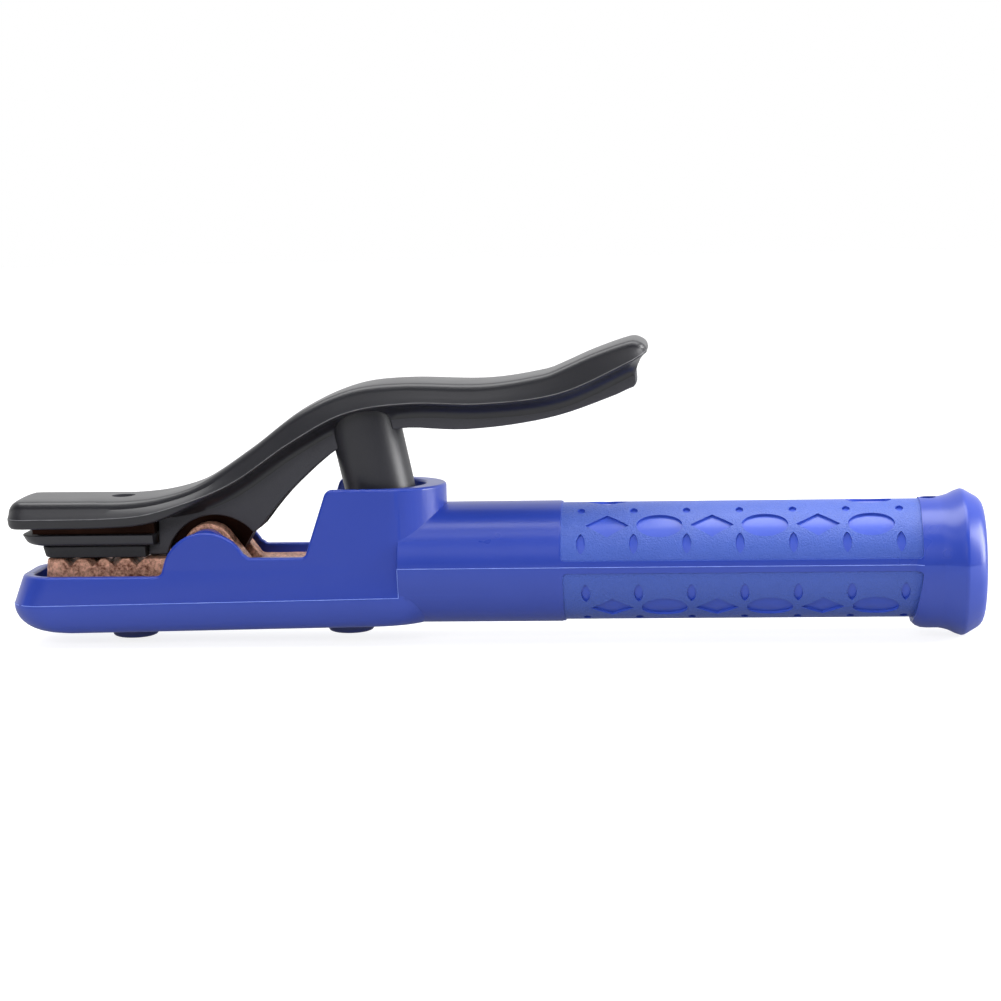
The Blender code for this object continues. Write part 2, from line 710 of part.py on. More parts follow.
def make_lever(hinge, black, copper, steel):
    """Everything that swings with the lever."""
    cover = stack("lever_cover", cover_sections(), black)
    boolean(cover, "UNION", prism("add_skirt", at_deck(skirt_outline()), SKIRT_HALF_WIDTH))
    pocket = [
        (PLATE_FRONT - TOUCH_GAP, PLATE_UP - 3 * MM),
        (PLATE_BACK + TOUCH_GAP, PLATE_UP - 3 * MM),
        (PLATE_BACK + TOUCH_GAP, PLATE_TOP + TOUCH_GAP),
        (PLATE_FRONT - TOUCH_GAP, PLATE_TOP + TOUCH_GAP),
    ]
    head_up = cover_top(COVER_SCREW_ALONG) - 2.3 * MM
    screw_origin = (HINGE_X + COVER_SCREW_ALONG, 0, DECK_Z)
    pocket_end = SLEEVE_END + TOUCH_GAP
    pocket_radius = SLEEVE_RADIUS + TOUCH_GAP
    shank = COVER_SCREW_RADIUS + TOUCH_GAP
    arch_centre = (HINGE_X + 1.1 * MM, 0, DECK_Z + 0.9 * MM)
    sleeve_pocket = (SLEEVE_START - 2 * MM, pocket_end, pocket_radius)
    boolean(
        cover,
        "DIFFERENCE",
        rod("cut_arch", -20 * MM, 20 * MM, ARCH_RADIUS, arch_centre, (0, 1, 0), steps=48),
        prism("cut_arm_slot", at_deck(arm_slot_outline()), ARM_HALF_THICKNESS + TOUCH_GAP),
        prism("cut_plate_pocket", at_deck(pocket), PLATE_HALF_WIDTH + TOUCH_GAP),
        rod("cut_sleeve_pocket", *sleeve_pocket, SLEEVE_BASE, SLEEVE_AXIS, steps=ROUND_STEPS),
        rod("cut_recess", head_up, head_up + 9 * MM, RECESS_RADIUS, screw_origin, (0, 0, 1)),
        rod("cut_cover_screw", PLATE_TOP - 3 * MM, head_up + 1 * MM, shank, screw_origin, (0, 0, 1)),
    )

    arm = prism("upper_arm", at_deck(arm_outline()), ARM_HALF_THICKNESS, copper)
    plate = [
        (PLATE_FRONT, PLATE_UP),
        (PLATE_BACK, PLATE_UP),
        (PLATE_BACK, PLATE_TOP),
        (PLATE_FRONT, PLATE_TOP),
    ]
    boolean(arm, "UNION", prism("add_plate", at_deck(plate), PLATE_HALF_WIDTH))
    pin_hole = PIN_RADIUS + PIN_GAP
    hinge_place = (HINGE_X, 0, HINGE_Z)
    post_hole = POST_SCREW_RADIUS + TOUCH_GAP
    arm_cuts = [
        rod("cut_knuckle_hole", -20 * MM, 20 * MM, pin_hole, hinge_place, (0, 1, 0), steps=24),
        rod("cut_plate_screw", PLATE_UP - 3 * MM, PLATE_TOP + 3 * MM, shank, screw_origin, (0, 0, 1)),
        rod("cut_post", SLEEVE_END - 1 * MM, SLEEVE_END + 12 * MM, post_hole, SLEEVE_BASE, SLEEVE_AXIS),
    ]
    for rivet_name, along in RIVETS:
        origin = (HINGE_X + along, 0, DECK_Z)
        hole = RIVET_RADIUS + TOUCH_GAP
        hole_end = PLATE_TOP - 0.9 * MM
        arm_cuts.append(rod(f"cut_arm_{rivet_name}", 0, hole_end, hole, origin, (0, 0, 1)))
    boolean(arm, "DIFFERENCE", *arm_cuts)
    screw = headed_rod(
        "cover_screw",
        (-(head_up + 1.3 * MM), -(head_up + TOUCH_GAP), RECESS_RADIUS - TOUCH_GAP),
        (0, -(PLATE_UP + 0.8 * MM), COVER_SCREW_RADIUS),
        screw_origin,
        (0, 0, -1),
        steel,
    )

    shroud_plan = (SHROUD_FRONT, SHROUD_BACK, SHROUD_HALF_WIDTH, 6.0 * MM)
    shroud = stack("jaw_shroud", slab_levels(*shroud_plan, SHROUD_BOTTOM, SHROUD_TOP, 2.8 * MM), black)
    pad_plan = (PAD_FRONT, PAD_BACK, PAD_HALF_WIDTH, 3.0 * MM)
    pad_bottom = TOOTH_UP + TOUCH_GAP
    pad = stack("upper_jaw_pad", slab_levels(*pad_plan, pad_bottom, PAD_TOP, 0.6 * MM), black)
    riders = [cover, arm, screw, shroud, pad]
    for rivet_name, along in RIVETS:
        origin = (HINGE_X + along, 0, DECK_Z)
        hole = RIVET_RADIUS + TOUCH_GAP
        head_top = TOOTH_UP + TOUCH_GAP + 1.6 * MM
        head_hole = RIVET_HEAD_RADIUS + TOUCH_GAP
        boolean(shroud, "DIFFERENCE", rod(f"cut_shroud_{rivet_name}", 0, PLATE_UP, hole, origin, (0, 0, 1)))
        boolean(
            pad,
            "DIFFERENCE",
            rod(f"cut_pad_{rivet_name}", 0, PLATE_UP, hole, origin, (0, 0, 1)),
            rod(f"cut_pad_head_{rivet_name}", 0, head_top + TOUCH_GAP, head_hole, origin, (0, 0, 1)),
        )
        riders.append(
            headed_rod(
                rivet_name,
                (head_top - 1.1 * MM, head_top, RIVET_HEAD_RADIUS),
                (head_top, PLATE_TOP - 1.4 * MM, RIVET_RADIUS),
                origin,
                (0, 0, 1),
                copper,
            )
        )

    inner = SLEEVE_RADIUS - SLEEVE_WALL
    cap_start = SLEEVE_END - SLEEVE_CAP
    sleeve_profile = [
        (SLEEVE_START, inner),
        (SLEEVE_START, SLEEVE_RADIUS),
        (SLEEVE_END, SLEEVE_RADIUS),
        (SLEEVE_END, post_hole),
        (cap_start, post_hole),
        (cap_start, inner),
    ]
    sleeve = turned("spring_sleeve", sleeve_profile, SLEEVE_BASE, SLEEVE_AXIS, black, closed=True)
    riders.append(sleeve)
    washer_end = cap_start - TOUCH_GAP
    washer_start = washer_end - WASHER_HEIGHT
    washer = (washer_start, washer_end, post_hole, inner - TOUCH_GAP)
    riders.append(ring("spring_top_washer", *washer, SLEEVE_BASE, SLEEVE_AXIS, steel, 28))
    post_head_end = washer_start - TOUCH_GAP
    riders.append(
        headed_rod(
            "spring_post_screw",
            (post_head_end - 1.6 * MM, post_head_end, POST_HEAD_RADIUS),
            (post_head_end, SLEEVE_END + 4.2 * MM, POST_SCREW_RADIUS),
            SLEEVE_BASE,
            SLEEVE_AXIS,
            steel,
        )
    )
    for rider in riders:
        rider.parent = hinge
        rider.matrix_parent_inverse = Matrix.Translation(hinge.location).inverted()
    return washer_start


def slab_levels(front, back, half_width, corner, bottom, top, taper):
    """A flat slab with rounded front corners, narrower underneath."""
    levels = []
    for up, inset in ((bottom, taper), (bottom + 0.3 * (top - bottom), 0.45 * taper), (top, 0)):
        quarter = arc((front + inset + corner, half_width - 0.4 * inset - corner), corner, 180, 90, 6)
        outline = quarter + [(back, half_width - 0.4 * inset), (back, -half_width + 0.4 * inset)]
        outline += [(x, -y) for x, y in reversed(quarter)]
        levels.append([(HINGE_X + x, y, DECK_Z + up) for x, y in outline])
    return levels


def make_spring(finish, top_end):
    """A round-wire compression spring along the sleeve's axis, with closed ends."""
    lift = COIL_RADIUS * math.tan(SLEEVE_LEAN) + WIRE_RADIUS + 0.2 * MM
    length = top_end - TOUCH_GAP - WIRE_RADIUS - lift
    curve = bpy.data.curves.new("main_spring", "CURVE")
    curve.dimensions = "3D"
    curve.bevel_depth = WIRE_RADIUS
    curve.bevel_resolution = 1
    curve.use_fill_caps = True
    per_turn = 14
    count = int(SPRING_TURNS * per_turn) + 1
    line = curve.splines.new("POLY")
    line.points.add(count - 1)
    for index, point in enumerate(line.points):
        share = index / (count - 1)
        angle = math.tau * SPRING_TURNS * share
        along = lift + length * share
        point.co = (along, COIL_RADIUS * math.cos(angle), COIL_RADIUS * math.sin(angle), 1)
    spring = bpy.data.objects.new("main_spring", curve)
    bpy.context.scene.collection.objects.link(spring)
    curve.materials.append(finish)
    return place(spring, SLEEVE_BASE, SLEEVE_AXIS)


def make_fasteners(steel, black, copper, blue):
    """Screws, washers, foot caps, spring seat, hinge pin and the cable clamp."""
    hinge_place = (HINGE_X, 0, HINGE_Z)
    rod("hinge_pin", -BAR_HALF_WIDTH, BAR_HALF_WIDTH, PIN_RADIUS, hinge_place, (0, 1, 0), steel, 24)
    for place_name, offset in BODY_SCREWS:
        x = HINGE_X + offset
        origin = (x, 0, 0)
        washer_top = LEDGE_Z - TOUCH_GAP
        washer_low = washer_top - WASHER_HEIGHT
        head_top = washer_low - TOUCH_GAP
        hole = BODY_SCREW_RADIUS + TOUCH_GAP
        washer = (washer_low, washer_top, hole, SCREW_HEAD_RADIUS)
        ring(f"{place_name}_lock_washer", *washer, origin, (0, 0, 1), steel)
        headed_rod(
            f"{place_name}_body_screw",
            (head_top - 1.7 * MM, head_top, SCREW_HEAD_RADIUS),
            (head_top, DECK_Z + CONDUCTOR_BOTTOM + 5.8 * MM, BODY_SCREW_RADIUS),
            origin,
            (0, 0, 1),
            steel,
        )
        face = underside(x - FOOT_RADIUS)
        stem_top = head_top - 1.7 * MM - TOUCH_GAP
        cap_low = underside(x) - FOOT_DROP
        cap_profile = [
            (cap_low, 0),
            (cap_low, FOOT_RADIUS - 0.7 * MM),
            (cap_low + 0.5 * MM, FOOT_RADIUS),
            (face - TOUCH_GAP, FOOT_RADIUS),
            (face - TOUCH_GAP, COUNTERBORE_RADIUS - TOUCH_GAP),
            (stem_top, COUNTERBORE_RADIUS - TOUCH_GAP),
            (stem_top, 0),
        ]
        turned(f"{place_name}_foot_cap", cap_profile, origin, (0, 0, 1), blue, 32)
    seat_origin = (HINGE_X + CUP_CENTRE, 0, SEAT_BASE_Z)
    seat_radius = SLEEVE_RADIUS - SLEEVE_WALL
    seat_profile = [
        (0, 0),
        (0, seat_radius),
        (SEAT_HEIGHT, seat_radius),
        (SEAT_HEIGHT, 3.2 * MM),
        (SEAT_HEIGHT + 1.6 * MM, 2.8 * MM),
        (SEAT_HEIGHT + 1.6 * MM, 0),
    ]
    turned("spring_seat", seat_profile, seat_origin, (0, 0, 1), black, 28)
    strip_start = cable_screw_places()[0][1] - 7 * MM
    strip_end = cable_screw_places()[1][1] + 7 * MM
    strip_top = HANDLE_AXIS_Z + CABLE_BORE_RADIUS * 0.8
    strip = [
        (strip_start, strip_top - 0.9 * MM),
        (strip_end, strip_top - 0.9 * MM),
        (strip_end, strip_top),
        (strip_start, strip_top),
    ]
    prism("cable_clamp_strip", strip, CABLE_BORE_RADIUS * 0.6 - TOUCH_GAP, copper)
    for screw_name, x in cable_screw_places():
        low = strip_top + TOUCH_GAP
        high = HANDLE_AXIS_Z + SOCKET_RADIUS + 0.4 * MM
        socket = 1.5 * MM
        profile = [
            (low, 0),
            (low, CABLE_SCREW_RADIUS),
            (high, CABLE_SCREW_RADIUS),
            (high, socket),
            (high - 1.8 * MM, socket),
            (high - 1.8 * MM, 0),
        ]
        turned(screw_name, profile, (x, 0, 0), (0, 0, 1), steel, SMALL_STEPS)
    lock_low = HANDLE_AXIS_Z + HANDLE_BORE + 0.3 * MM
    lock_high = BUTT_AXIS_Z + HANDLE_RADIUS + COLLAR_LIP - 0.9 * MM
    rod("handle_lock_screw", lock_low, lock_high, LOCK_SCREW_RADIUS, (LOCK_X, 0, 0), (0, 0, 1), steel)


def main():
    for old in list(bpy.data.objects):
        bpy.data.objects.remove(old)
    blue = material("blue_nylon", (0.035, 0.07, 0.40), 0.35, 0.0)
    black = material("black_phenolic", (0.02, 0.02, 0.022), 0.4, 0.0)
    copper = material("cast_copper", (0.55, 0.27, 0.17), 0.4, 1.0)
    steel = material("plated_steel", (0.6, 0.6, 0.58), 0.3, 1.0)
    hinge = bpy.data.objects.new("lever_hinge", None)
    hinge.location = (HINGE_X, 0, HINGE_Z)
    bpy.context.scene.collection.objects.link(hinge)
    make_body(blue)
    make_conductor(copper)
    make_fasteners(steel, black, copper, blue)
    top_end = make_lever(hinge, black, copper, steel)
    make_spring(steel, top_end)


main()
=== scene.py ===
# %% [markdown]
# # An electrode holder for stick welding
# The holder is a blue insulated moulding with a copper jaw in its nose. A black lever rocks on a pin above
# the jaw, and a spring under a leaning sleeve keeps it closed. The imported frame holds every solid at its
# real size, and this lesson gives the pieces that show their fine shape and their finish.

# %% Load the frame
import json
import math

import bpy
from mathutils import Matrix, Vector

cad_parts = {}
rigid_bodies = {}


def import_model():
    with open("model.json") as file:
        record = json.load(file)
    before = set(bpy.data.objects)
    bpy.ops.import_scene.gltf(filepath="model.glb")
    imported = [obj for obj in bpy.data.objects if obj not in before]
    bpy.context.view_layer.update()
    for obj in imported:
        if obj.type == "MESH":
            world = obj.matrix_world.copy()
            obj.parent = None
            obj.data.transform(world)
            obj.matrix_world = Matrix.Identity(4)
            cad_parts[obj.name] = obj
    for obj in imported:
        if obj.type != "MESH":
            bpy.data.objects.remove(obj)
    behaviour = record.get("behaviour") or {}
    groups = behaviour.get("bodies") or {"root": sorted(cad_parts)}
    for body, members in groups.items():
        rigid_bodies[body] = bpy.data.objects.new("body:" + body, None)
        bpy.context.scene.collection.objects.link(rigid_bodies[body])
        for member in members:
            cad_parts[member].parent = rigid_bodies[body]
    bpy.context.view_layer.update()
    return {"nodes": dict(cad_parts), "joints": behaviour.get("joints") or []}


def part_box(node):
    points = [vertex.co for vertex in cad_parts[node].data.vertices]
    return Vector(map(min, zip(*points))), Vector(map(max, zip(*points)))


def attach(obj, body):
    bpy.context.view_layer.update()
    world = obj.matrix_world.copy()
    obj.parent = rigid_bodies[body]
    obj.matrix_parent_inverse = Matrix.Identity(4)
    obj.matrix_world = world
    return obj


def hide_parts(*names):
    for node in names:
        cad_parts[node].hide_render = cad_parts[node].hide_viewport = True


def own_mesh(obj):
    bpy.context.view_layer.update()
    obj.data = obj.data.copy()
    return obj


MM = 0.001
for old in list(bpy.data.objects):
    bpy.data.objects.remove(old)
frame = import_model()
nodes = frame["nodes"]

# %% [markdown]
# ## Landmarks
# Most places on the jaw end are measured from two landmarks: the hinge, which the joint gives, and the
# deck, a height 5.5 mm below it where the copper's flat top begins. The handle and its flared butt are
# round about two axes, one a little above the other, because the butt stands proud only underneath.

# %% Landmarks
HINGE = Vector(frame["joints"][0]["pos_m"])
DECK_Z = HINGE.z - 5.5 * MM
BUTT_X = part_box("insulated_body")[1].x
FLARE_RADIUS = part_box("insulated_body")[1].y
BUTT_AXIS_Z = FLARE_RADIUS
HANDLE_AXIS_Z = DECK_Z + 0.3 * MM
HANDLE_RADIUS = FLARE_RADIUS - 3.1 * MM
PANEL_RADIUS = HANDLE_RADIUS - 0.5 * MM
GRIP_START = 18.7 * MM
GRIP_END = 108.9 * MM
HALF_WIDTH = 14.6 * MM
CHANNEL_HALF = 11.8 * MM
CUP_CENTRE = 47.1 * MM
CUP_RADIUS = 13.7 * MM
RIM_UP = -0.8 * MM
WAIST_UP = 3.8 * MM
CUP_UP = 21.0 * MM
# The two screws under the body, from the hinge.
SCREW_PLACES = (-22.0 * MM, 35.1 * MM)
SLEEVE_LEAN = math.radians(11.7)
SLEEVE_BASE = Vector((HINGE.x + CUP_CENTRE, 0, DECK_Z + 3.3 * MM))
SLEEVE_AXIS = Vector((-math.sin(SLEEVE_LEAN), 0, math.cos(SLEEVE_LEAN)))
print("hinge at", [round(v / MM, 2) for v in HINGE], "mm; handle radius", round(HANDLE_RADIUS / MM, 2), "mm")

# %% [markdown]
# ## Working by hand, in code
# An operator acts on whatever is selected, so each helper first makes its piece the only selected one.
# Outlines are drawn as points and edges, then extruded, or spun round an axis with the Spin tool, and
# solids are joined or cut with the Boolean modifier, which is applied at once.


# %% Helpers for selecting, drawing and cutting
def take(piece):
    """Make a piece the only selected object, and the active one."""
    if bpy.context.mode != "OBJECT":
        bpy.ops.object.mode_set(mode="OBJECT")
    bpy.ops.object.select_all(action="DESELECT")
    piece.select_set(True)
    bpy.context.view_layer.objects.active = piece
    return piece


def drawn(name, points, edges, faces=()):
    """A new object from points, with edges or faces between them."""
    mesh = bpy.data.meshes.new(name)
    mesh.from_pydata([tuple(p) for p in points], edges, faces)
    piece = bpy.data.objects.new(name, mesh)
    bpy.context.scene.collection.objects.link(piece)
    return take(piece)


def tidy_normals(piece):
    """Merge doubled points and turn every face outwards."""
    take(piece)
    bpy.ops.object.mode_set(mode="EDIT")
    bpy.ops.mesh.select_all(action="SELECT")
    bpy.ops.mesh.remove_doubles(threshold=0.002 * MM)
    bpy.ops.mesh.normals_make_consistent(inside=False)
    bpy.ops.object.mode_set(mode="OBJECT")
    return piece


def slab(name, outline, half_width):
    """Fill an outline of (x, z) points and extrude it across the holder, to half_width on each side."""
    count = len(outline)
    points = [(x, -half_width, z) for x, z in outline]
    piece = drawn(name, points, [(i, (i + 1) % count) for i in range(count)])
    bpy.ops.object.mode_set(mode="EDIT")
    bpy.ops.mesh.select_all(action="SELECT")
    bpy.ops.mesh.edge_face_add()
    bpy.ops.mesh.extrude_region_move(TRANSFORM_OT_translate={"value": (0, 2 * half_width, 0)})
    bpy.ops.object.mode_set(mode="OBJECT")
    return tidy_normals(piece)


def turned(name, profile, origin, axis, steps=96, closed=False):
    """Spin a profile of (along, radius) points round an axis through origin."""
    axis = Vector(axis).normalized()
    side = axis.orthogonal().normalized()
    points = [Vector(origin) + axis * along + side * radius for along, radius in profile]
    edges = [(i, i + 1) for i in range(len(points) - 1)]
    if closed:
        edges.append((len(points) - 1, 0))
    piece = drawn(name, points, edges)
    bpy.ops.object.mode_set(mode="EDIT")
    bpy.ops.mesh.select_all(action="SELECT")
    bpy.ops.mesh.spin(steps=steps, angle=math.tau, center=origin, axis=axis)
    bpy.ops.object.mode_set(mode="OBJECT")
    return tidy_normals(piece)


def rod(name, start, end, radius, origin, axis, steps=48):
    """A plain round bar, mostly used as a cutter."""
    return turned(name, [(start, 0), (start, radius), (end, radius), (end, 0)], origin, axis, steps)


def loft(name, rings, bands=()):
    """Skin a row of rings with equal counts and close both ends. bands are (segment, material slot)."""
    count = len(rings[0])
    points = [point for ring in rings for point in ring]
    faces = []
    for row in range(len(rings) - 1):
        for i in range(count):
            after = (i + 1) % count
            low, high = row * count, (row + 1) * count
            faces.append((low + i, low + after, high + after, high + i))
    faces.append(tuple(range(count)))
    faces.append(tuple(range(len(points) - count, len(points))))
    piece = drawn(name, points, [], faces)
    for segment, slot in bands:
        for row in range(len(rings) - 1):
            piece.data.polygons[row * count + segment].material_index = slot
    return tidy_normals(piece)


def finish_modifier(piece, kind, **settings):
    """Add a modifier with these settings and apply it."""
    take(piece)
    modifier = piece.modifiers.new(kind.title(), kind)
    for key, value in settings.items():
        setattr(modifier, key, value)
    bpy.ops.object.modifier_apply(modifier=modifier.name)
    return piece


def combine(piece, operation, *others):
    """Cut, keep or join with closed solids, which are used up. Cut faces take the cutter's finish."""
    for other in others:
        settings = {"operation": operation, "object": other, "solver": "MANIFOLD"}
        finish_modifier(piece, "BOOLEAN", material_mode="TRANSFER", **settings)
        bpy.data.objects.remove(other)
    return piece


def soften(piece, width, angle=35, segments=3):
    """Round every edge sharper than angle."""
    return finish_modifier(
        piece,
        "BEVEL",
        width=width,
        segments=segments,
        limit_method="ANGLE",
        angle_limit=math.radians(angle),
        use_clamp_overlap=False,
    )


def shade(piece, angle=32):
    """Smooth shading with crisp edges over angle, and normals that lean to the larger faces."""
    take(piece)
    bpy.ops.object.shade_smooth_by_angle(angle=math.radians(angle))
    return finish_modifier(piece, "WEIGHTED_NORMAL", keep_sharp=True, weight=80)


def arc(centre, radius, start, end, count):
    """Points on an arc from start to end degrees, ends included."""
    angles = [math.radians(start + (end - start) * i / count) for i in range(count + 1)]
    return [(centre[0] + radius * math.cos(a), centre[1] + radius * math.sin(a)) for a in angles]


def from_deck(points):
    """Offsets (along, up) from the point under the hinge, as (x, z) places."""
    return [(HINGE.x + along, DECK_Z + up) for along, up in points]


def report(piece):
    print(piece.name, "has", len(piece.data.polygons), "faces")
    return piece


print("helpers ready")

# %% [markdown]
# ## Shared surface effects
# Moulded plastic is never quite even. Its gloss drifts where the melt ran, and a spark-eroded mould leaves
# a fine matte tooth. Cast copper has the same two effects at other scales, so both are node groups that
# every material places with its own numbers: one drifts a value about, one gives a grain's height.


# %% Node groups
def new_group(name, inputs, outputs):
    """A node group with float inputs {name: default} and outputs [(name, socket type)]."""
    group = bpy.data.node_groups.new(name, "ShaderNodeTree")
    for label, value in inputs.items():
        socket = group.interface.new_socket(label, in_out="INPUT", socket_type="NodeSocketFloat")
        socket.default_value = value
    for label, kind in outputs:
        group.interface.new_socket(label, in_out="OUTPUT", socket_type=kind)
    return group, group.nodes.new("NodeGroupInput"), group.nodes.new("NodeGroupOutput")


def noise_in(tree, detail, roughness=0.6):
    """A noise texture on Object coordinates."""
    place = tree.nodes.new("ShaderNodeTexCoord")
    noise = tree.nodes.new("ShaderNodeTexNoise")
    noise.inputs["Detail"].default_value = detail
    noise.inputs["Roughness"].default_value = roughness
    tree.links.new(place.outputs["Object"], noise.inputs["Vector"])
    return noise


def make_drift():
    """Mould drift: a value that wanders between Low and High over patches of a set size."""
    inputs = {"Scale": 60.0, "Low": 0.3, "High": 0.4}
    group, given, out = new_group("mould drift", inputs, [("Value", "NodeSocketFloat")])
    noise = noise_in(group, 3.0)
    spread = group.nodes.new("ShaderNodeMapRange")
    spread.inputs["From Min"].default_value = 0.15
    spread.inputs["From Max"].default_value = 0.85
    group.links.new(given.outputs["Scale"], noise.inputs["Scale"])
    group.links.new(noise.outputs["Fac"], spread.inputs["Value"])
    group.links.new(given.outputs["Low"], spread.inputs["To Min"])
    group.links.new(given.outputs["High"], spread.inputs["To Max"])
    group.links.new(spread.outputs["Result"], out.inputs["Value"])
    return group


def make_grain():
    """Surface grain: fine pits on a broader swell, as a height from 0 to 1."""
    inputs = {"Fine": 2500.0, "Swell": 200.0, "Swell share": 0.3}
    group, given, out = new_group("surface grain", inputs, [("Height", "NodeSocketFloat")])
    fine = noise_in(group, 2.0)
    swell = noise_in(group, 1.0)
    mix = group.nodes.new("ShaderNodeMix")
    group.links.new(given.outputs["Fine"], fine.inputs["Scale"])
    group.links.new(given.outputs["Swell"], swell.inputs["Scale"])
    group.links.new(given.outputs["Swell share"], mix.inputs["Factor"])
    group.links.new(fine.outputs["Fac"], mix.inputs["A"])
    group.links.new(swell.outputs["Fac"], mix.inputs["B"])
    group.links.new(mix.outputs["Result"], out.inputs["Height"])
    return group


DRIFT = make_drift()
GRAIN = make_grain()
print("groups:", DRIFT.name, "and", GRAIN.name)

# %% [markdown]
# ## Finishes
# Each finish is a Principled shader with a tone that shifts between two near colours, a roughness that
# drifts, and a bump from the grain group. The plastics differ mostly in gloss and grain. The copper is a
# casting: brown in its pits, pink and bright on its high spots, so its colour follows the grain too.


# %% Material builder
def finish(name, dark, light, rough, grain, depth, metallic=0.0, patch=60.0, follow=0.0):
    """A Principled material. rough is (low, high), grain is (fine, swell, share), depth is in metres."""
    made = bpy.data.materials.new(name)
    made.use_nodes = True
    tree = made.node_tree
    shader = tree.nodes["Principled BSDF"]
    shader.inputs["Metallic"].default_value = metallic
    texture = tree.nodes.new("ShaderNodeGroup")
    texture.node_tree = GRAIN
    for label, value in zip(("Fine", "Swell", "Swell share"), grain):
        texture.inputs[label].default_value = value
    bump = tree.nodes.new("ShaderNodeBump")
    bump.inputs["Distance"].default_value = depth
    bump.inputs["Strength"].default_value = 1.0
    tree.links.new(texture.outputs["Height"], bump.inputs["Height"])
    tree.links.new(bump.outputs["Normal"], shader.inputs["Normal"])
    gloss = tree.nodes.new("ShaderNodeGroup")
    gloss.node_tree = DRIFT
    gloss.inputs["Scale"].default_value = patch
    gloss.inputs["Low"].default_value = rough[0]
    gloss.inputs["High"].default_value = rough[1]
    tree.links.new(gloss.outputs["Value"], shader.inputs["Roughness"])
    tone = tree.nodes.new("ShaderNodeGroup")
    tone.node_tree = DRIFT
    tone.inputs["Scale"].default_value = 0.6 * patch
    tone.inputs["Low"].default_value = 0.0
    tone.inputs["High"].default_value = 1.0
    choose = tree.nodes.new("ShaderNodeMix")
    choose.inputs["Factor"].default_value = follow
    tree.links.new(tone.outputs["Value"], choose.inputs["A"])
    tree.links.new(texture.outputs["Height"], choose.inputs["B"])
    ramp = tree.nodes.new("ShaderNodeValToRGB")
    ramp.color_ramp.elements[0].position = 0.35 if follow else 0.0
    ramp.color_ramp.elements[0].color = (*dark, 1)
    ramp.color_ramp.elements[1].position = 0.62 if follow else 1.0
    ramp.color_ramp.elements[1].color = (*light, 1)
    tree.links.new(choose.outputs["Result"], ramp.inputs["Fac"])
    tree.links.new(ramp.outputs["Color"], shader.inputs["Base Color"])
    return made


# %% The finishes
BLUE_GLOSS = finish("blue moulding", (0.017, 0.042, 0.31), (0.022, 0.050, 0.35), (0.25, 0.33),
                    (1400, 90, 0.9), 0.00003, patch=35)
BLUE_GRIP = finish("blue spark-textured grip", (0.038, 0.082, 0.37), (0.046, 0.096, 0.42), (0.38, 0.46),
                   (2300, 300, 0.1), 0.00022)
BLUE_SHAPE = finish("blue polished shapes", (0.034, 0.074, 0.44), (0.040, 0.084, 0.48), (0.26, 0.34),
                    (1400, 90, 0.9), 0.00003, patch=35)
# Lower half: a duller gloss that is real, and a lighter blue that is painted light bounced up from the
# floor.
BLUE_LOWER = finish("blue moulding, duller half", (0.026, 0.055, 0.34), (0.032, 0.064, 0.38), (0.36, 0.44),
                    (1500, 120, 0.8), 0.00004, patch=35)
BLUE_PLUG = finish("dark blue plug", (0.010, 0.020, 0.13), (0.014, 0.026, 0.16), (0.34, 0.42),
                   (1400, 90, 0.9), 0.00003, patch=35)
# Pale colour of the parting ridge: a painted highlight on a real flash ridge.
BLUE_RIDGE_HIGHLIGHT = finish("parting flash with painted highlight", (0.10, 0.17, 0.62), (0.24, 0.34, 0.80), (0.3, 0.5),
                    (1500, 400, 0.5), 0.00004, patch=500)
BLACK_GLOSS = finish("black lever moulding", (0.013, 0.013, 0.016), (0.018, 0.018, 0.022), (0.30, 0.40),
                     (1800, 150, 0.7), 0.00003)
BLACK_SATIN = finish("black sleeve moulding", (0.018, 0.018, 0.022), (0.024, 0.024, 0.030), (0.34, 0.42),
                     (1800, 150, 0.7), 0.00003)
BLACK_DULL = finish("black lever skirt", (0.034, 0.034, 0.042), (0.044, 0.044, 0.052), (0.5, 0.6),
                    (2200, 300, 0.3), 0.00006)
# Grey on the lever's parting edge: a painted highlight.
BLACK_EDGE_HIGHLIGHT = finish("painted highlight on the parting edge", (0.045, 0.045, 0.05), (0.16, 0.16, 0.17), (0.4, 0.6),
                     (1500, 400, 0.5), 0.00004, patch=500)
ARC_BOARD = finish("black heat-proof board", (0.014, 0.014, 0.016), (0.026, 0.026, 0.029), (0.55, 0.7),
                   (1500, 400, 0.3), 0.00012)
COPPER = finish("rough cast copper", (0.16, 0.055, 0.033), (0.90, 0.50, 0.36), (0.36, 0.54),
                (1500, 520, 0.4), 0.00030, metallic=0.6, patch=300.0, follow=0.85)
# Nearly black copper: painted shade for copper pieces that sit deep inside the lever and body.
COPPER_PAINTED_SHADE = finish("copper darkened with painted shade", (0.010, 0.006, 0.005), (0.050, 0.021, 0.014), (0.5, 0.65),
                    (900, 200, 0.5), 0.00010, metallic=1.0, patch=150)
STEEL = finish("zinc-plated steel", (0.42, 0.42, 0.41), (0.52, 0.52, 0.50), (0.28, 0.40),
               (1200, 200, 0.4), 0.00004, metallic=1.0)
SPRING_STEEL = finish("oil-tempered wire", (0.10, 0.10, 0.11), (0.17, 0.16, 0.16), (0.3, 0.42),
                      (900, 300, 0.5), 0.00004, metallic=1.0)
print("finishes:", len(bpy.data.materials))


def paint(piece, *finishes):
    """Give a piece its finishes; a new mesh uses the first all over."""
    for chosen in finishes:
        piece.data.materials.append(chosen)
    return piece


# %% [markdown]
# ## The jaw end of the body
# The front half of the moulding is a trough with drafted sides, a round nose and a generous radius
# along its underside. Its top edge rises into two hinge ears and then into a cup for the spring. It is
# skinned from plan outlines stacked upwards, kept to its side outline, hollowed, and then softened.


# %% Trough, ears and spring cup
def underside(x):
    """Height of the lowest face, which climbs a little towards the handle."""
    return DECK_Z - 16.3 * MM + 0.0155 * (x - HINGE.x + 43 * MM)


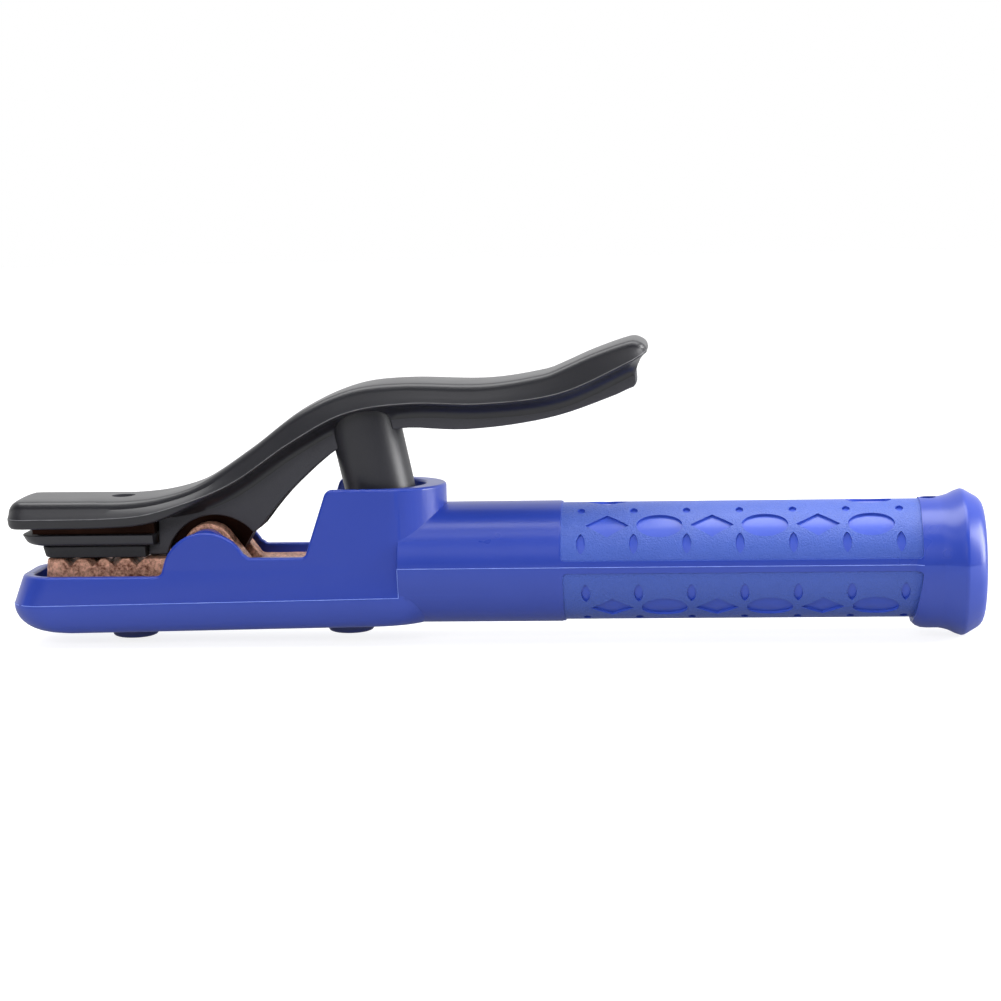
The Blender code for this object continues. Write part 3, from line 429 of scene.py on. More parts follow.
def plan(front, back, half_width, corner, back_radius, height, fine=14):
    """A ring in plan: rounded nose corners and a half-round back. height gives z from x."""
    quarter = arc((front + corner, half_width - corner), corner, 180, 90, fine)
    back_centre = back - back_radius
    rear = [(back_centre + back_radius * math.cos(t), half_width * math.sin(t))
            for t in (math.radians(90 - 180 * i / (2 * fine)) for i in range(2 * fine + 1))]
    outline = quarter + rear + [(x, -y) for x, y in reversed(quarter)]
    return [(x, y, height(x)) for x, y in outline]


def body_rings():
    """Rings from the flat underside round the lower radius to above the cup."""
    nose = HINGE.x - 52.35 * MM
    back = HINGE.x + CUP_CENTRE + CUP_RADIUS
    round_height = 8.0 * MM
    rings = []
    for step in range(11):
        turn = math.radians(9 * step)
        side = 5.6 * MM * (1 - math.sin(turn))
        front = 8.9 * MM * (1 - math.sin(turn))
        rise = round_height * (1 - math.cos(turn))
        height = lambda x, rise=rise: underside(x) + rise
        rings.append(plan(nose + front, back - side, HALF_WIDTH - side, 9.5 * MM, CUP_RADIUS, height))
    for up, side, front in ((RIM_UP + 1.6 * MM, 0.6 * MM, 3.3 * MM), (CUP_UP + 4 * MM, 1.0 * MM, 6.0 * MM)):
        height = lambda x, up=up: DECK_Z + up
        rings.append(plan(nose + front, back, HALF_WIDTH - side, 9.5 * MM, CUP_RADIUS, height))
    return rings


def body_side():
    """The rim, the ears, the waist and the cup seen from the side, closed below the body."""
    ear_radius = 11.35 * MM
    ear_up = -0.9 * MM
    left = math.degrees(math.asin((RIM_UP + 2.2 * MM - ear_up) / ear_radius))
    right = math.degrees(math.asin((WAIST_UP + 1.0 * MM - ear_up) / ear_radius))
    ear = arc((0, ear_up), ear_radius, 180 - left, right, 48)
    front_end = -60 * MM
    back_end = 70 * MM
    below = -25 * MM
    lean = math.tan(math.radians(17.8))
    front = 26.05 * MM
    corner = 2.3 * MM
    rise = CUP_UP - WAIST_UP - corner
    top_corner = arc((front + lean * rise + corner, CUP_UP - corner), corner, 180 - 17.8, 90, 8)
    points = [(front_end, RIM_UP), (ear[0][0] - 2.2 * MM, RIM_UP)]
    points += arc((ear[0][0] - 2.0 * MM, RIM_UP + 1.8 * MM), 1.8 * MM, -80, -12, 5)
    points += ear
    points += arc((ear[-1][0] + 1.9 * MM, WAIST_UP + 1.4 * MM), 1.4 * MM, 215, 270, 5)
    points += arc((front - 1.4 * MM, WAIST_UP + 1.4 * MM), 1.4 * MM, -90, -20, 5)
    points += top_corner
    points += [(back_end, CUP_UP), (back_end, below), (front_end, below)]
    return from_deck(points)


def make_trough():
    trough = paint(loft("body_shell", body_rings()), BLUE_GLOSS)
    combine(trough, "INTERSECT", paint(slab("keep", body_side(), 22 * MM), BLUE_GLOSS))
    nose = HINGE.x - 46.75 * MM
    back = HINGE.x + 55.5 * MM
    levels = []
    for up in (-9.5 * MM, CUP_UP + 10 * MM):
        levels.append(plan(nose, back, CHANNEL_HALF, 7 * MM, CHANNEL_HALF, lambda x, up=up: DECK_Z + up))
    combine(trough, "DIFFERENCE", paint(loft("channel", levels), BLUE_GLOSS))
    soften(trough, 0.75 * MM, angle=38, segments=4)
    return trough


trough = report(make_trough())

# %% [markdown]
# ## The handle and its grip
# The handle is a turned bar. Two panels are let into it, above and below the parting line, by cutting
# with a ring that a rounded block has trimmed. Diamonds, ovals and small leaf shapes are let in deeper:
# one strip of them is modelled flat on top, trimmed to the same curve, and copied round the handle. The
# cutters carry their own finish, so the panels come out spark-textured and the shapes polished.


# %% Handle blank with its flared butt
def on_handle(name, profile, axis_z, steps=144):
    return paint(turned(name, profile, (0, 0, axis_z), (1, 0, 0), steps), BLUE_GLOSS)


def steps_between(start, end, step=2.2 * MM):
    """Even places from start to end. Short faces along the bar keep its shading clean after the cuts."""
    count = math.ceil((end - start) / step)
    return [start + (end - start) * i / count for i in range(count + 1)]


def make_handle():
    grip_end = BUTT_X - 15.8 * MM
    bar = [(-22.65 * MM, 0), (-22.65 * MM, HANDLE_RADIUS - 0.25 * MM), (-22.4 * MM, HANDLE_RADIUS)]
    bar += [(GRIP_START - 0.4 * MM, HANDLE_RADIUS)]
    bar += [(x, HANDLE_RADIUS - 0.12 * MM) for x in steps_between(GRIP_START, grip_end)]
    bar += [(grip_end, 0)]
    collar = HANDLE_RADIUS + 1.15 * MM
    flare = FLARE_RADIUS
    step_x = grip_end - 1.5 * MM
    butt = [(step_x - 2.5 * MM, 0), (step_x - 2.5 * MM, collar - 2.9 * MM)]
    butt += [(step_x - 1.6 * MM, collar - 2.6 * MM), (step_x - 0.6 * MM, collar - 1.5 * MM)]
    butt += [(step_x + 0.3 * MM, collar - 0.7 * MM), (step_x + 1.6 * MM, collar - 0.15 * MM)]
    butt += [(step_x + 3.2 * MM, collar), (BUTT_X - 11.2 * MM, collar)]
    butt += [(BUTT_X - 10.2 * MM, collar + 0.15 * MM), (BUTT_X - 8.6 * MM, collar + 0.6 * MM)]
    butt += [(BUTT_X - 7.0 * MM, collar + 1.4 * MM), (BUTT_X - 5.8 * MM, flare - 0.12 * MM)]
    butt += [(BUTT_X - 5.3 * MM, flare), (BUTT_X - 4.6 * MM, flare - 0.15 * MM)]
    butt += [(BUTT_X - 2.3 * MM, collar + 0.45 * MM), (BUTT_X - 1.5 * MM, collar)]
    butt += [(BUTT_X - 0.8 * MM, collar - 0.6 * MM), (BUTT_X - 0.3 * MM, collar - 1.3 * MM)]
    butt += [(BUTT_X, collar - 2.1 * MM), (BUTT_X, 0)]
    handle = on_handle("handle", bar, HANDLE_AXIS_Z)
    return combine(handle, "UNION", on_handle("butt", butt, BUTT_AXIS_Z))


handle = report(make_handle())


# %% Panels above and below the parting line
def grip_ring(name, inner, start, end, chosen):
    """A ring outside the handle, from the inner radius outwards, for trimming cutters to its curve."""
    outer = HANDLE_RADIUS + 4 * MM
    profile = [(x, inner) for x in steps_between(start, end)] + [(end, outer), (start, outer)]
    ring = turned(name, profile, (0, 0, HANDLE_AXIS_Z), (1, 0, 0), 144, closed=True)
    return paint(ring, chosen)


def panel_outline(left, right_near, right_far, near, far):
    """A side view of a panel: square outside the handle, round at its corners by the parting line."""
    corner = 1.1 * MM
    turn = 1 if far > near else -1
    first = arc((left + corner, near + turn * corner), corner, 180, 180 + turn * 90, 5)
    second = arc((right_near - corner, near + turn * corner), corner, -turn * 90, 0, 5)
    return [(left, far)] + first + second + [(right_far, far)]


def cut_panels(target):
    panels = (
        (GRIP_START, GRIP_END, GRIP_END, HANDLE_AXIS_Z + 2.15 * MM, HANDLE_AXIS_Z + 30 * MM),
        (GRIP_START + 0.5 * MM, GRIP_END, GRIP_END - 4 * MM,
         HANDLE_AXIS_Z - 0.95 * MM, HANDLE_AXIS_Z - 30 * MM),
    )
    for left, right_near, right_far, near, far in panels:
        ring = grip_ring("panel", PANEL_RADIUS, left - 3 * MM, right_near + 3 * MM, BLUE_GRIP)
        block = slab("panel_block", panel_outline(left, right_near, right_far, near, far), 30 * MM)
        combine(ring, "INTERSECT", paint(block, BLUE_GRIP))
        combine(target, "DIFFERENCE", ring)


cut_panels(handle)
report(handle)


# %% Diamonds, ovals and leaves
def diamond(length, width):
    return [(-length / 2, 0), (0, -width / 2), (length / 2, 0), (0, width / 2)]


def oval(length, width, count=40):
    turns = [math.tau * i / count for i in range(count)]
    return [(length / 2 * math.cos(t), width / 2 * math.sin(t)) for t in turns]


def leaf(length, width, count=12):
    """A pointed lens: two full arcs that meet at its ends, longer round the handle than along it."""
    places = [i / count - 0.5 for i in range(count)]
    half = [(length / 2 * (1 - 4 * t**2) ** 0.75, width * t) for t in places]
    return half + [(-x, -y) for x, y in half]


def shape_strip(name, shapes):
    """Flat shapes standing on top of the handle, flared outwards, trimmed to the curve of their floor."""
    floor = HANDLE_RADIUS - 1.15 * MM
    strip = None
    for x, outline in shapes:
        rings = []
        for radius, grow in ((HANDLE_RADIUS - 4 * MM, 0.7 * MM), (HANDLE_RADIUS + 3 * MM, -0.9 * MM)):
            ring = []
            for px, py in outline:
                reach = math.hypot(px, py)
                share = (reach - grow * 0.5) / reach
                ring.append((x + px * share, py * share, HANDLE_AXIS_Z + radius))
            rings.append(ring)
        shape = loft("shape", rings)
        if strip is None:
            strip = shape
        else:
            take(strip)
            shape.select_set(True)
            bpy.ops.object.join()
    strip.name = name
    paint(strip, BLUE_SHAPE)
    start = shapes[0][0] - 9 * MM
    end = shapes[-1][0] + 9 * MM
    return combine(strip, "INTERSECT", grip_ring("floor", floor, start, end, BLUE_SHAPE))


def cut_round(target, strip, angles):
    """Copy a strip round the handle's axis and let each copy in."""
    for angle in angles:
        copy = strip.copy()
        copy.data = strip.data.copy()
        bpy.context.scene.collection.objects.link(copy)
        centre = Matrix.Translation((0, 0, HANDLE_AXIS_Z))
        copy.data.transform(centre @ Matrix.Rotation(math.radians(angle), 4, "X") @ centre.inverted())
        combine(target, "DIFFERENCE", copy)
    bpy.data.objects.remove(strip)


BIG_STEP = 26.4 * MM
LEAF_STEP = 13.3 * MM
LOWER_SHIFT = 1.1 * MM


def cut_shapes(target):
    for shift, sign in ((0.0, 1), (LOWER_SHIFT, -1)):
        big = []
        for pair in range(3):
            x = 30.4 * MM + shift + pair * BIG_STEP
            big.append((x, diamond(10.8 * MM, 6.9 * MM)))
            big.append((x + 13.2 * MM, oval(11.5 * MM, 6.9 * MM)))
        places = [23.8 * MM + shift + i * LEAF_STEP for i in range(7)]
        long_leaves = [(x, leaf(2.2 * MM, 5.3 * MM)) for x in places]
        short_leaves = [(x, leaf(1.9 * MM, 2.5 * MM)) for x in places]
        turn = 0 if sign > 0 else 180
        cut_round(target, shape_strip("big_shapes", big), [turn + a for a in (-45.5, 45.5)])
        ends = [big[0], big[-1]]
        cut_round(target, shape_strip("end_shapes", ends), [turn])
        cut_round(target, shape_strip("long_leaves", long_leaves), [turn - 65, turn + 65])
        cut_round(target, shape_strip("short_leaves", short_leaves), [turn - 25, turn + 25])


cut_shapes(handle)
report(handle)

# %% [markdown]
# ## Joining the body
# The trough and the handle are one moulding. After they are joined, the cable bore, the screw holes and
# the small hole for the lock screw are cut, and the inner bosses that carry the hinge pin are added.


# %% Join and bore the body
def make_body(trough, handle):
    body = combine(trough, "UNION", handle)
    along = (1, 0, 0)
    up = (0, 0, 1)
    axis_point = (0, 0, HANDLE_AXIS_Z)
    bore = 10.3 * MM
    profile = [(HINGE.x + CUP_CENTRE, 0), (HINGE.x + CUP_CENTRE, bore), (BUTT_X - 1.2 * MM, bore)]
    profile += [(BUTT_X - 0.4 * MM, bore + 0.35 * MM), (BUTT_X + 1 * MM, bore + 1.6 * MM)]
    profile += [(BUTT_X + 1 * MM, 0)]
    cutters = [turned("bore", profile, axis_point, along)]
    floor = DECK_Z - 9.5 * MM
    for offset in SCREW_PLACES:
        place = (HINGE.x + offset, 0, 0)
        cutters.append(rod("counterbore", -5 * MM, floor - 1.8 * MM, 4.6 * MM, place, up))
        cutters.append(rod("screw_hole", -5 * MM, floor + 2 * MM, 3.0 * MM, place, up))
    lock_place = (BUTT_X - 13.4 * MM, 0, HANDLE_AXIS_Z)
    cutters.append(rod("lock_hole", bore - 2 * MM, 25 * MM, 2.0 * MM, lock_place, up, 32))
    for cutter in cutters:
        combine(body, "DIFFERENCE", paint(cutter, BLUE_GLOSS))
    for side in (-1, 1):
        boss = rod("boss", 9.6 * MM, 12.4 * MM, 5.4 * MM, HINGE, (0, side, 0))
        combine(body, "UNION", paint(boss, BLUE_GLOSS))
    return shade(body, 30)


body = report(make_body(trough, handle))
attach(body, "root")
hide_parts("insulated_body")

# %% [markdown]
# ## Two halves and their parting line
# The moulding came out of a two-part mould, and the lower half of the mould was a little duller than the
# upper one. The body is bisected along that line, which runs level, jumps up behind the cup and goes on
# along the handle. Faces below it get the duller finish, whose lighter blue is painted light bounced up
# from the floor. The cut edges are then copied out and given a round section, because a real parting line
# is a thin ridge; its pale colour is a painted highlight.


# %% Bisect along the parting line
JOG_X = HINGE.x + 49.4 * MM
LOW_LINE = (Vector((HINGE.x, 0, DECK_Z - 7.5 * MM)), Vector((-0.0155, 0, 1)))
HIGH_LINE = (Vector((0, 0, HANDLE_AXIS_Z + 0.6 * MM)), Vector((0, 0, 1)))


def select_faces(piece, wanted):
    """Select the faces whose middle passes the test, and no others."""
    take(piece)
    bpy.ops.object.mode_set(mode="EDIT")
    bpy.ops.mesh.select_mode(type="FACE")
    bpy.ops.mesh.select_all(action="DESELECT")
    bpy.ops.object.mode_set(mode="OBJECT")
    for face in piece.data.polygons:
        face.select = wanted(face.center)


def bisect(piece, point, normal, wanted):
    select_faces(piece, wanted)
    bpy.ops.object.mode_set(mode="EDIT")
    bpy.ops.mesh.bisect(plane_co=point, plane_no=normal, threshold=0.001 * MM)
    bpy.ops.object.mode_set(mode="OBJECT")


def is_lower(place):
    point, normal = LOW_LINE if place.x < JOG_X else HIGH_LINE
    return (place - point).dot(normal) < 0


def split_finishes(body):
    bisect(body, Vector((JOG_X, 0, 0)), Vector((1, 0, 0)), lambda place: True)
    bisect(body, *LOW_LINE, lambda place: place.x < JOG_X)
    bisect(body, *HIGH_LINE, lambda place: place.x > JOG_X)
    body.data.materials.append(BLUE_LOWER)
    names = [slot.material.name for slot in body.material_slots]
    lower = names.index(BLUE_LOWER.name)
    duller = 0
    for face in body.data.polygons:
        if names[face.material_index] == BLUE_GLOSS.name and is_lower(face.center):
            face.material_index = lower
            duller += 1
    print("faces in the duller half:", duller)


split_finishes(body)


# %% The ridge on the parting line, pale with a painted highlight
def on_outside(place):
    """Is this place on the outer skin, and not in the channel or the bore?"""
    return abs(place.y) > 12.6 * MM or place.x < HINGE.x - 49.5 * MM


def parting_ridge(body):
    """Copy out the edges of the cut and make them a thin round ridge."""
    points = [vertex.co for vertex in body.data.vertices]
    lines = []
    for edge in body.data.edges:
        first, second = (points[i] for i in edge.vertices)
        middle = (first + second) / 2
        on_jog = abs(first.x - JOG_X) + abs(second.x - JOG_X) < 0.01 * MM
        level = LOW_LINE if middle.x < JOG_X else HIGH_LINE
        on_line = all(abs((p - level[0]).dot(level[1])) < 0.01 * MM for p in (first, second))
        above_low = (Vector((JOG_X, 0, middle.z)) - LOW_LINE[0]).dot(LOW_LINE[1]) > 0
        between = middle.z < HIGH_LINE[0].z and above_low
        if on_outside(middle) and (on_line or (on_jog and between)) and middle.x < GRIP_END:
            lines.append((tuple(first), tuple(second)))
    places = sorted({place for line in lines for place in line})
    index = {place: i for i, place in enumerate(places)}
    ridge = drawn("parting_ridge", places, [(index[a], index[b]) for a, b in lines])
    bpy.ops.object.convert(target="CURVE")
    ridge = bpy.context.active_object
    print("ridge:", len(lines), "edges in", len(ridge.data.splines), "lines")
    ridge.data.bevel_depth = 0.10 * MM
    ridge.data.bevel_resolution = 1
    bpy.ops.object.convert(target="MESH")
    # The ridge's pale colour is a painted highlight.
    return paint(bpy.context.active_object, BLUE_RIDGE_HIGHLIGHT)


ridge = report(parting_ridge(body))
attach(ridge, "root")

# %% [markdown]
# ## The lever cover
# The lever is a long black moulding, mushroom-shaped in section: a cap with a flat top, a thin flange, and
# a skirt under it. Its side view is one flowing line, so the cap is skinned from cross-sections whose
# heights come from three smooth curves: the top, the parting edge and the skirt's lower edge. Over the jaw
# the flange hangs down as a lip, and behind the hinge it turns into a hollow cove that runs in to the skirt.


# %% Side view of the lever
def smooth_height(points):
    """A function z(x) that passes smoothly through (x, z) points given in millimetres."""
    slopes = []
    for i in range(len(points)):
        before = points[max(i - 1, 0)]
        after = points[min(i + 1, len(points) - 1)]
        slopes.append((after[1] - before[1]) / (after[0] - before[0]))

    def height(x):
        for i in range(len(points) - 1):
            (x0, z0), (x1, z1) = points[i], points[i + 1]
            if x <= x1 * MM or i == len(points) - 2:
                span = x1 - x0
                t = min(max((x / MM - x0) / span, 0), 1)
                rise = 2 * t**3 - 3 * t**2
                lead = (t**3 - 2 * t**2 + t) * span * slopes[i]
                trail = (t**3 - t**2) * span * slopes[i + 1]
                return (z0 * (1 + rise) - z1 * rise + lead + trail) * MM
        return points[-1][1] * MM

    return height


cover_top = smooth_height([
    (-48, 18.7), (-30, 18.6), (-21, 18.6), (-11, 19.8), (-1.5, 22.9), (12, 31.5), (25, 40.9), (38, 46.4),
    (51, 47.8), (72, 47.4), (87, 49.5), (92, 51.4), (98, 54.0), (104, 56.2), (109, 57.7), (113, 58.4),
])
cover_parting = smooth_height([
    (-50, 13.7), (-20, 14.2), (-8.5, 16.6), (7, 22.6), (22.7, 32.9), (36.7, 40.1), (52.5, 42.4),
    (72, 42.1), (91.3, 44.5), (109, 52.2), (113, 54.6),
])
skirt_edge = smooth_height([
    (11.4, 9.2), (13, 10.5), (16, 14.3), (20, 18.9), (24.3, 23.0), (30, 27.9), (36, 31.8), (43, 34.6),
    (52, 35.7), (61, 35.2), (67, 35.1), (79, 36.2), (91, 38.5), (103.3, 42.7), (108, 44.7), (110.2, 46.1),
])
LEVER_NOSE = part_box("lever_cover")[0].x - HINGE.x + 0.1 * MM
LEVER_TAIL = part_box("lever_cover")[1].x - HINGE.x - 0.05 * MM
LEVER_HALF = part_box("lever_cover")[1].y
SKIRT_HALF = 5.4 * MM
SKIRT_END = 110.0 * MM
print("lever from", round(LEVER_NOSE / MM, 1), "to", round(LEVER_TAIL / MM, 1), "mm of the hinge")


# %% Cross-sections of the cap
# (inset, share of the lip's depth) from the cap's edge inwards.
LIP = (
    (0.1 * MM, 0.0), (0.25 * MM, 0.3), (0.4 * MM, 0.6), (0.6 * MM, 0.82), (1.0 * MM, 0.96),
    (1.7 * MM, 1.0), (3.2 * MM, 1.0), (4.8 * MM, 1.0), (6.2 * MM, 1.0), (7.4 * MM, 1.0),
)
COVE_DEPTH = 4.8 * MM
# The two strips of the ring that are the parting edge, one on each side; their grey is a painted highlight.
HIGHLIGHT_BANDS = (12, 36)


def roundness(distance, length):
    """How full a rounded end is at a distance from its tip: 0 at the tip, 1 from length on."""
    into = min(max(distance / length, 0), 1)
    return math.sqrt(1 - (1 - into) ** 2)


def eased(value, start, end):
    t = min(max((value - start) / (end - start), 0), 1)
    return t * t * (3 - 2 * t)


def cap_section(along):
    """One ring of the cap, from its top middle down one side, under and up the other."""
    from_nose = along - LEVER_NOSE
    from_tail = LEVER_TAIL - along
    nose_corner = 5.6 * MM
    tail_corner = 4.5 * MM
    half = LEVER_HALF - nose_corner * (1 - roundness(from_nose, nose_corner))
    half -= tail_corner * (1 - roundness(from_tail, tail_corner))
    share = half / LEVER_HALF
    parting = cover_parting(along)
    fullness = roundness(from_nose, 3.6 * MM) * roundness(from_tail, 4.4 * MM)
    top = parting + 0.3 * MM + (cover_top(along) - parting - 0.3 * MM) * max(fullness, 0.02)
    shoulder = half - 1.7 * MM * share
    fillet = min(2.0 * MM, 0.45 * (top - parting))
    crown = 0.3 * MM * fullness
    right = [(0, top), (0.4 * shoulder, top - 0.15 * crown), (0.7 * shoulder, top - 0.5 * crown)]
    corner = (shoulder - fillet, top - crown - fillet)
    right += [(corner[0] + fillet * math.sin(t), corner[1] + fillet * math.cos(t))
              for t in (math.radians(a) for a in (0, 15, 30, 45, 60, 75, 88))]
    wall_top = right[-1]
    wall_low = (half - 0.12 * MM, parting + 0.32 * MM)
    right += [((wall_top[0] + wall_low[0]) / 2 + 0.15 * MM * fullness, (wall_top[1] + wall_low[1]) / 2)]
    right += [wall_low, (half, parting + 0.14 * MM), (half, parting - 0.1 * MM)]
    cove_weight = eased(along, -15 * MM, 5 * MM)
    lip_depth = 0.4 * MM + 2.0 * MM * roundness(from_nose, 2.2 * MM)
    end_share = max((along - SKIRT_END) / (LEVER_TAIL - SKIRT_END), 0)
    for inset, drop in LIP:
        lip_point = (half - inset * share, parting - 0.3 * MM - drop * (lip_depth - 0.3 * MM))
        inner = min(SKIRT_HALF - 0.4 * MM, 0.5 * half)
        side_share = 1 - inset / LIP[-1][0]
        hollow = COVE_DEPTH * (1 - roundness(max(side_share, end_share), 1))
        cove_point = (inner + (half - 0.15 * MM - inner) * side_share, parting - 0.3 * MM - hollow)
        y = lip_point[0] * (1 - cove_weight) + cove_point[0] * cove_weight
        z = lip_point[1] * (1 - cove_weight) + cove_point[1] * cove_weight
        right.append((y, z))
    right.append((0, right[-1][1]))
    left = [(-y, z) for y, z in reversed(right[1:-1])]
    return [(HINGE.x + along, y, DECK_Z + z) for y, z in right + left]


def cap_places():
    """Where the rings stand: close together round both ends, and evenly between."""
    ends = [0.0, 0.1, 0.3, 0.6, 1.0, 1.6, 2.4, 3.4, 4.6, 6.0, 7.6]
    places = [LEVER_NOSE + d * MM for d in ends]
    places += steps_between(LEVER_NOSE + 9 * MM, LEVER_TAIL - 6.5 * MM, 1.8 * MM)
    return places + [LEVER_TAIL - d * MM for d in reversed(ends[:9])]


def make_cap():
    rings = [cap_section(along) for along in cap_places()]
    print("cap:", len(rings), "rings of", len(rings[0]), "points")
    # The parting-edge strips take slot 1, a grey painted highlight.
    cap = loft("lever_shell", rings, [(band, 1) for band in HIGHLIGHT_BANDS])
    return paint(cap, BLACK_GLOSS, BLACK_EDGE_HIGHLIGHT, BLACK_DULL)


lever = report(make_cap())


# %% [markdown]
# ### The skirt, and what is let into the lever
# The skirt is a flat web under the cap. It is cut away in an arch over the hinge lugs, and its edges are
# rounded before it is joined. Then the slot for the copper arm, the pocket for the jaw plate, the pocket
# for the spring sleeve and the screw recess are cut, as they would be in a real moulding.


# %% Skirt, arch and pockets
def skirt_side():
    """The web from the jaw to the tail, seen from the side."""
    leg_low = 3.7 * MM
    steps = [11.4, 13, 14.5, 16, 18, 20, 22, 24.3, 27, 30, 33, 36, 39.5, 43, 47, 52]
    lower = [(-13.7 * MM, 6.5 * MM), (-16.5 * MM, 6.5 * MM), (-16.5 * MM, leg_low), (-10 * MM, leg_low)]
    lower += [(0, 9 * MM)]
    lower += [(step * MM, skirt_edge(step * MM)) for step in steps]
    lower += [(x, skirt_edge(x)) for x in steps_between(55 * MM, 108.2 * MM, 3 * MM)]
    lower += [(109.5 * MM, 45.3 * MM), (110.15 * MM, 46.1 * MM), (110.2 * MM, 46.9 * MM)]
    lower += [(SKIRT_END, 49.5 * MM)]
    upper = [(x, cover_parting(x) - 0.9 * MM) for x in steps_between(-13.7 * MM, 109.6 * MM, 4 * MM)]
    return from_deck(lower + upper[::-1])


def make_skirt():
    skirt = paint(slab("skirt", skirt_side(), SKIRT_HALF), BLACK_DULL)
    arch_centre = (HINGE.x + 1.1 * MM, 0, DECK_Z + 0.9 * MM)
    arch = rod("arch", -20 * MM, 20 * MM, 12.9 * MM, arch_centre, (0, 1, 0), 128)
    combine(skirt, "DIFFERENCE", paint(arch, BLACK_DULL))
    return soften(skirt, 0.45 * MM, angle=50, segments=3)


def arm_slot():
    """The slot that the copper arm is pushed into, open underneath."""
    wall = 1.9 * MM
    roof = [(x, cover_top(x) - wall) for x in steps_between(-13.5 * MM, 50.3 * MM, 4 * MM)]
    outline = [(-14.5 * MM, 0), (50.3 * MM, 0)] + roof[::-1] + [(-14.5 * MM, 14.2 * MM)]
    return slab("arm_slot", from_deck(outline), 3.7 * MM)


def finish_lever(lever):
    combine(lever, "UNION", make_skirt())
    front, back, low, high = -46.3 * MM, -13.7 * MM, 6.7 * MM, 14.2 * MM
    pocket = [(front, low), (back, low), (back, high), (front, high)]
    recess_x = -23.8 * MM
    recess_low = cover_top(recess_x) - 2.3 * MM
    recess_place = (HINGE.x + recess_x, 0, DECK_Z)
    up = (0, 0, 1)
    recess = [(recess_low, 0), (recess_low, 2.9 * MM), (recess_low + 2 * MM, 2.9 * MM)]
    recess += [(recess_low + 2.4 * MM, 3.1 * MM), (recess_low + 3.4 * MM, 4.2 * MM)]
    recess += [(recess_low + 3.4 * MM, 0)]
    cutters = [
        arm_slot(),
        slab("plate_pocket", from_deck(pocket), 9.2 * MM),
        rod("sleeve_pocket", 10 * MM, 39.8 * MM, 9.25 * MM, SLEEVE_BASE, SLEEVE_AXIS, 96),
        turned("recess", recess, recess_place, up, 64),
        rod("screw_way", 10.9 * MM, recess_low + 1 * MM, 1.8 * MM, recess_place, up, 32),
    ]
    for cutter in cutters:
        combine(lever, "DIFFERENCE", paint(cutter, BLACK_DULL))
    return shade(lever, 34)


finish_lever(lever)
report(lever)
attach(lever, "lever")
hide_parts("lever_cover")

# %% [markdown]
# ## The spring sleeve
# A leaning tube with a closed top hides the spring and keeps spatter off it. It is one turned profile,
# a hair wider at the top where the mould core was drafted, with a rounded rim at each end.


# %% Sleeve
def make_sleeve():
    low = 12.0 * MM
    high = 39.5 * MM
    wide = 9.1 * MM
    narrow = 8.95 * MM
    inner = 7.45 * MM
    cap = 34.1 * MM
    hole = 2.5 * MM
    profile = [(low, inner), (low, narrow - 0.4 * MM)]
    profile += [(low + 0.15 * MM, narrow - 0.1 * MM), (low + 0.4 * MM, narrow)]
    profile += [(high - 1 * MM, wide), (high - 0.3 * MM, wide - 0.3 * MM), (high, wide - 1 * MM)]
    profile += [(high, hole), (cap, hole), (cap, inner)]
    return paint(turned("sleeve", profile, SLEEVE_BASE, SLEEVE_AXIS, 128, closed=True), BLACK_SATIN)


sleeve = report(shade(make_sleeve(), 40))
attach(sleeve, "lever")
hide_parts("spring_sleeve")

# %% [markdown]
# ## The upper jaw
# Under the lever's nose hang two slabs, riveted to the copper plate: a moulded shroud with a rounded lower
# edge, and below it a pad of heat-proof board that presses the electrode down. Both are skinned from plan
# outlines stacked upwards, because their sides lean and their front corners are round.


# %% Shroud and pad
def blunt_plan(front, back, half, corner, up):
    """A plan outline with round front corners and a square back, at a height above the deck."""
    quarter = arc((front + corner, half - corner), corner, 180, 90, 14)
    outline = quarter + [(back, half), (back, -half)] + [(x, -y) for x, y in reversed(quarter)]
    return [(HINGE.x + x, y, DECK_Z + up) for x, y in outline]


def stacked(name, front, back, half, corner, levels):
    """A slab from (height, inset) levels. The sides lean in by less than the front does."""
    rings = [blunt_plan(front + inset, back, half - 0.4 * inset, corner, up) for up, inset in levels]
    return loft(name, rings)


RIVET_PLACES = (-38.0 * MM, -20.5 * MM)


def make_upper_jaw():
    shroud_levels = [
        (6.6 * MM, 3.4 * MM), (6.66 * MM, 2.6 * MM), (6.85 * MM, 1.9 * MM), (7.15 * MM, 1.35 * MM),
        (7.55 * MM, 0.95 * MM), (8.2 * MM, 0.6 * MM), (9.15 * MM, 0.1 * MM), (9.33 * MM, 0.15 * MM),
        (9.4 * MM, 0.4 * MM),
    ]
    pad_levels = [
        (3.4 * MM, 1.1 * MM), (3.5 * MM, 0.8 * MM), (3.7 * MM, 0.65 * MM), (5.9 * MM, 0.1 * MM),
        (6.15 * MM, 0.15 * MM), (6.3 * MM, 0.4 * MM),
    ]
    shroud = paint(stacked("shroud", -49.8 * MM, -14.3 * MM, 10 * MM, 6 * MM, shroud_levels), BLACK_SATIN)
    pad = paint(stacked("arc_pad", -44.4 * MM, -16.8 * MM, 8 * MM, 3 * MM, pad_levels), ARC_BOARD)
    for along in RIVET_PLACES:
        place = (HINGE.x + along, 0, DECK_Z)
        for piece, chosen in ((shroud, BLACK_SATIN), (pad, ARC_BOARD)):
            hole = rod("hole", 0, 12 * MM, 1.7 * MM, place, (0, 0, 1), 32)
            combine(piece, "DIFFERENCE", paint(hole, chosen))
        sink = rod("sink", 0, 5.3 * MM, 2.8 * MM, place, (0, 0, 1), 40)
        combine(pad, "DIFFERENCE", paint(sink, ARC_BOARD))
    return shade(shroud, 40), shade(pad, 40)


shroud, pad = make_upper_jaw()
for jaw_piece, node, slot in (
    (shroud, "jaw_shroud", "black_plastic"),
    (pad, "upper_jaw_pad", "arc_plate"),
):
    report(jaw_piece)
    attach(jaw_piece, "lever")
    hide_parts(node)

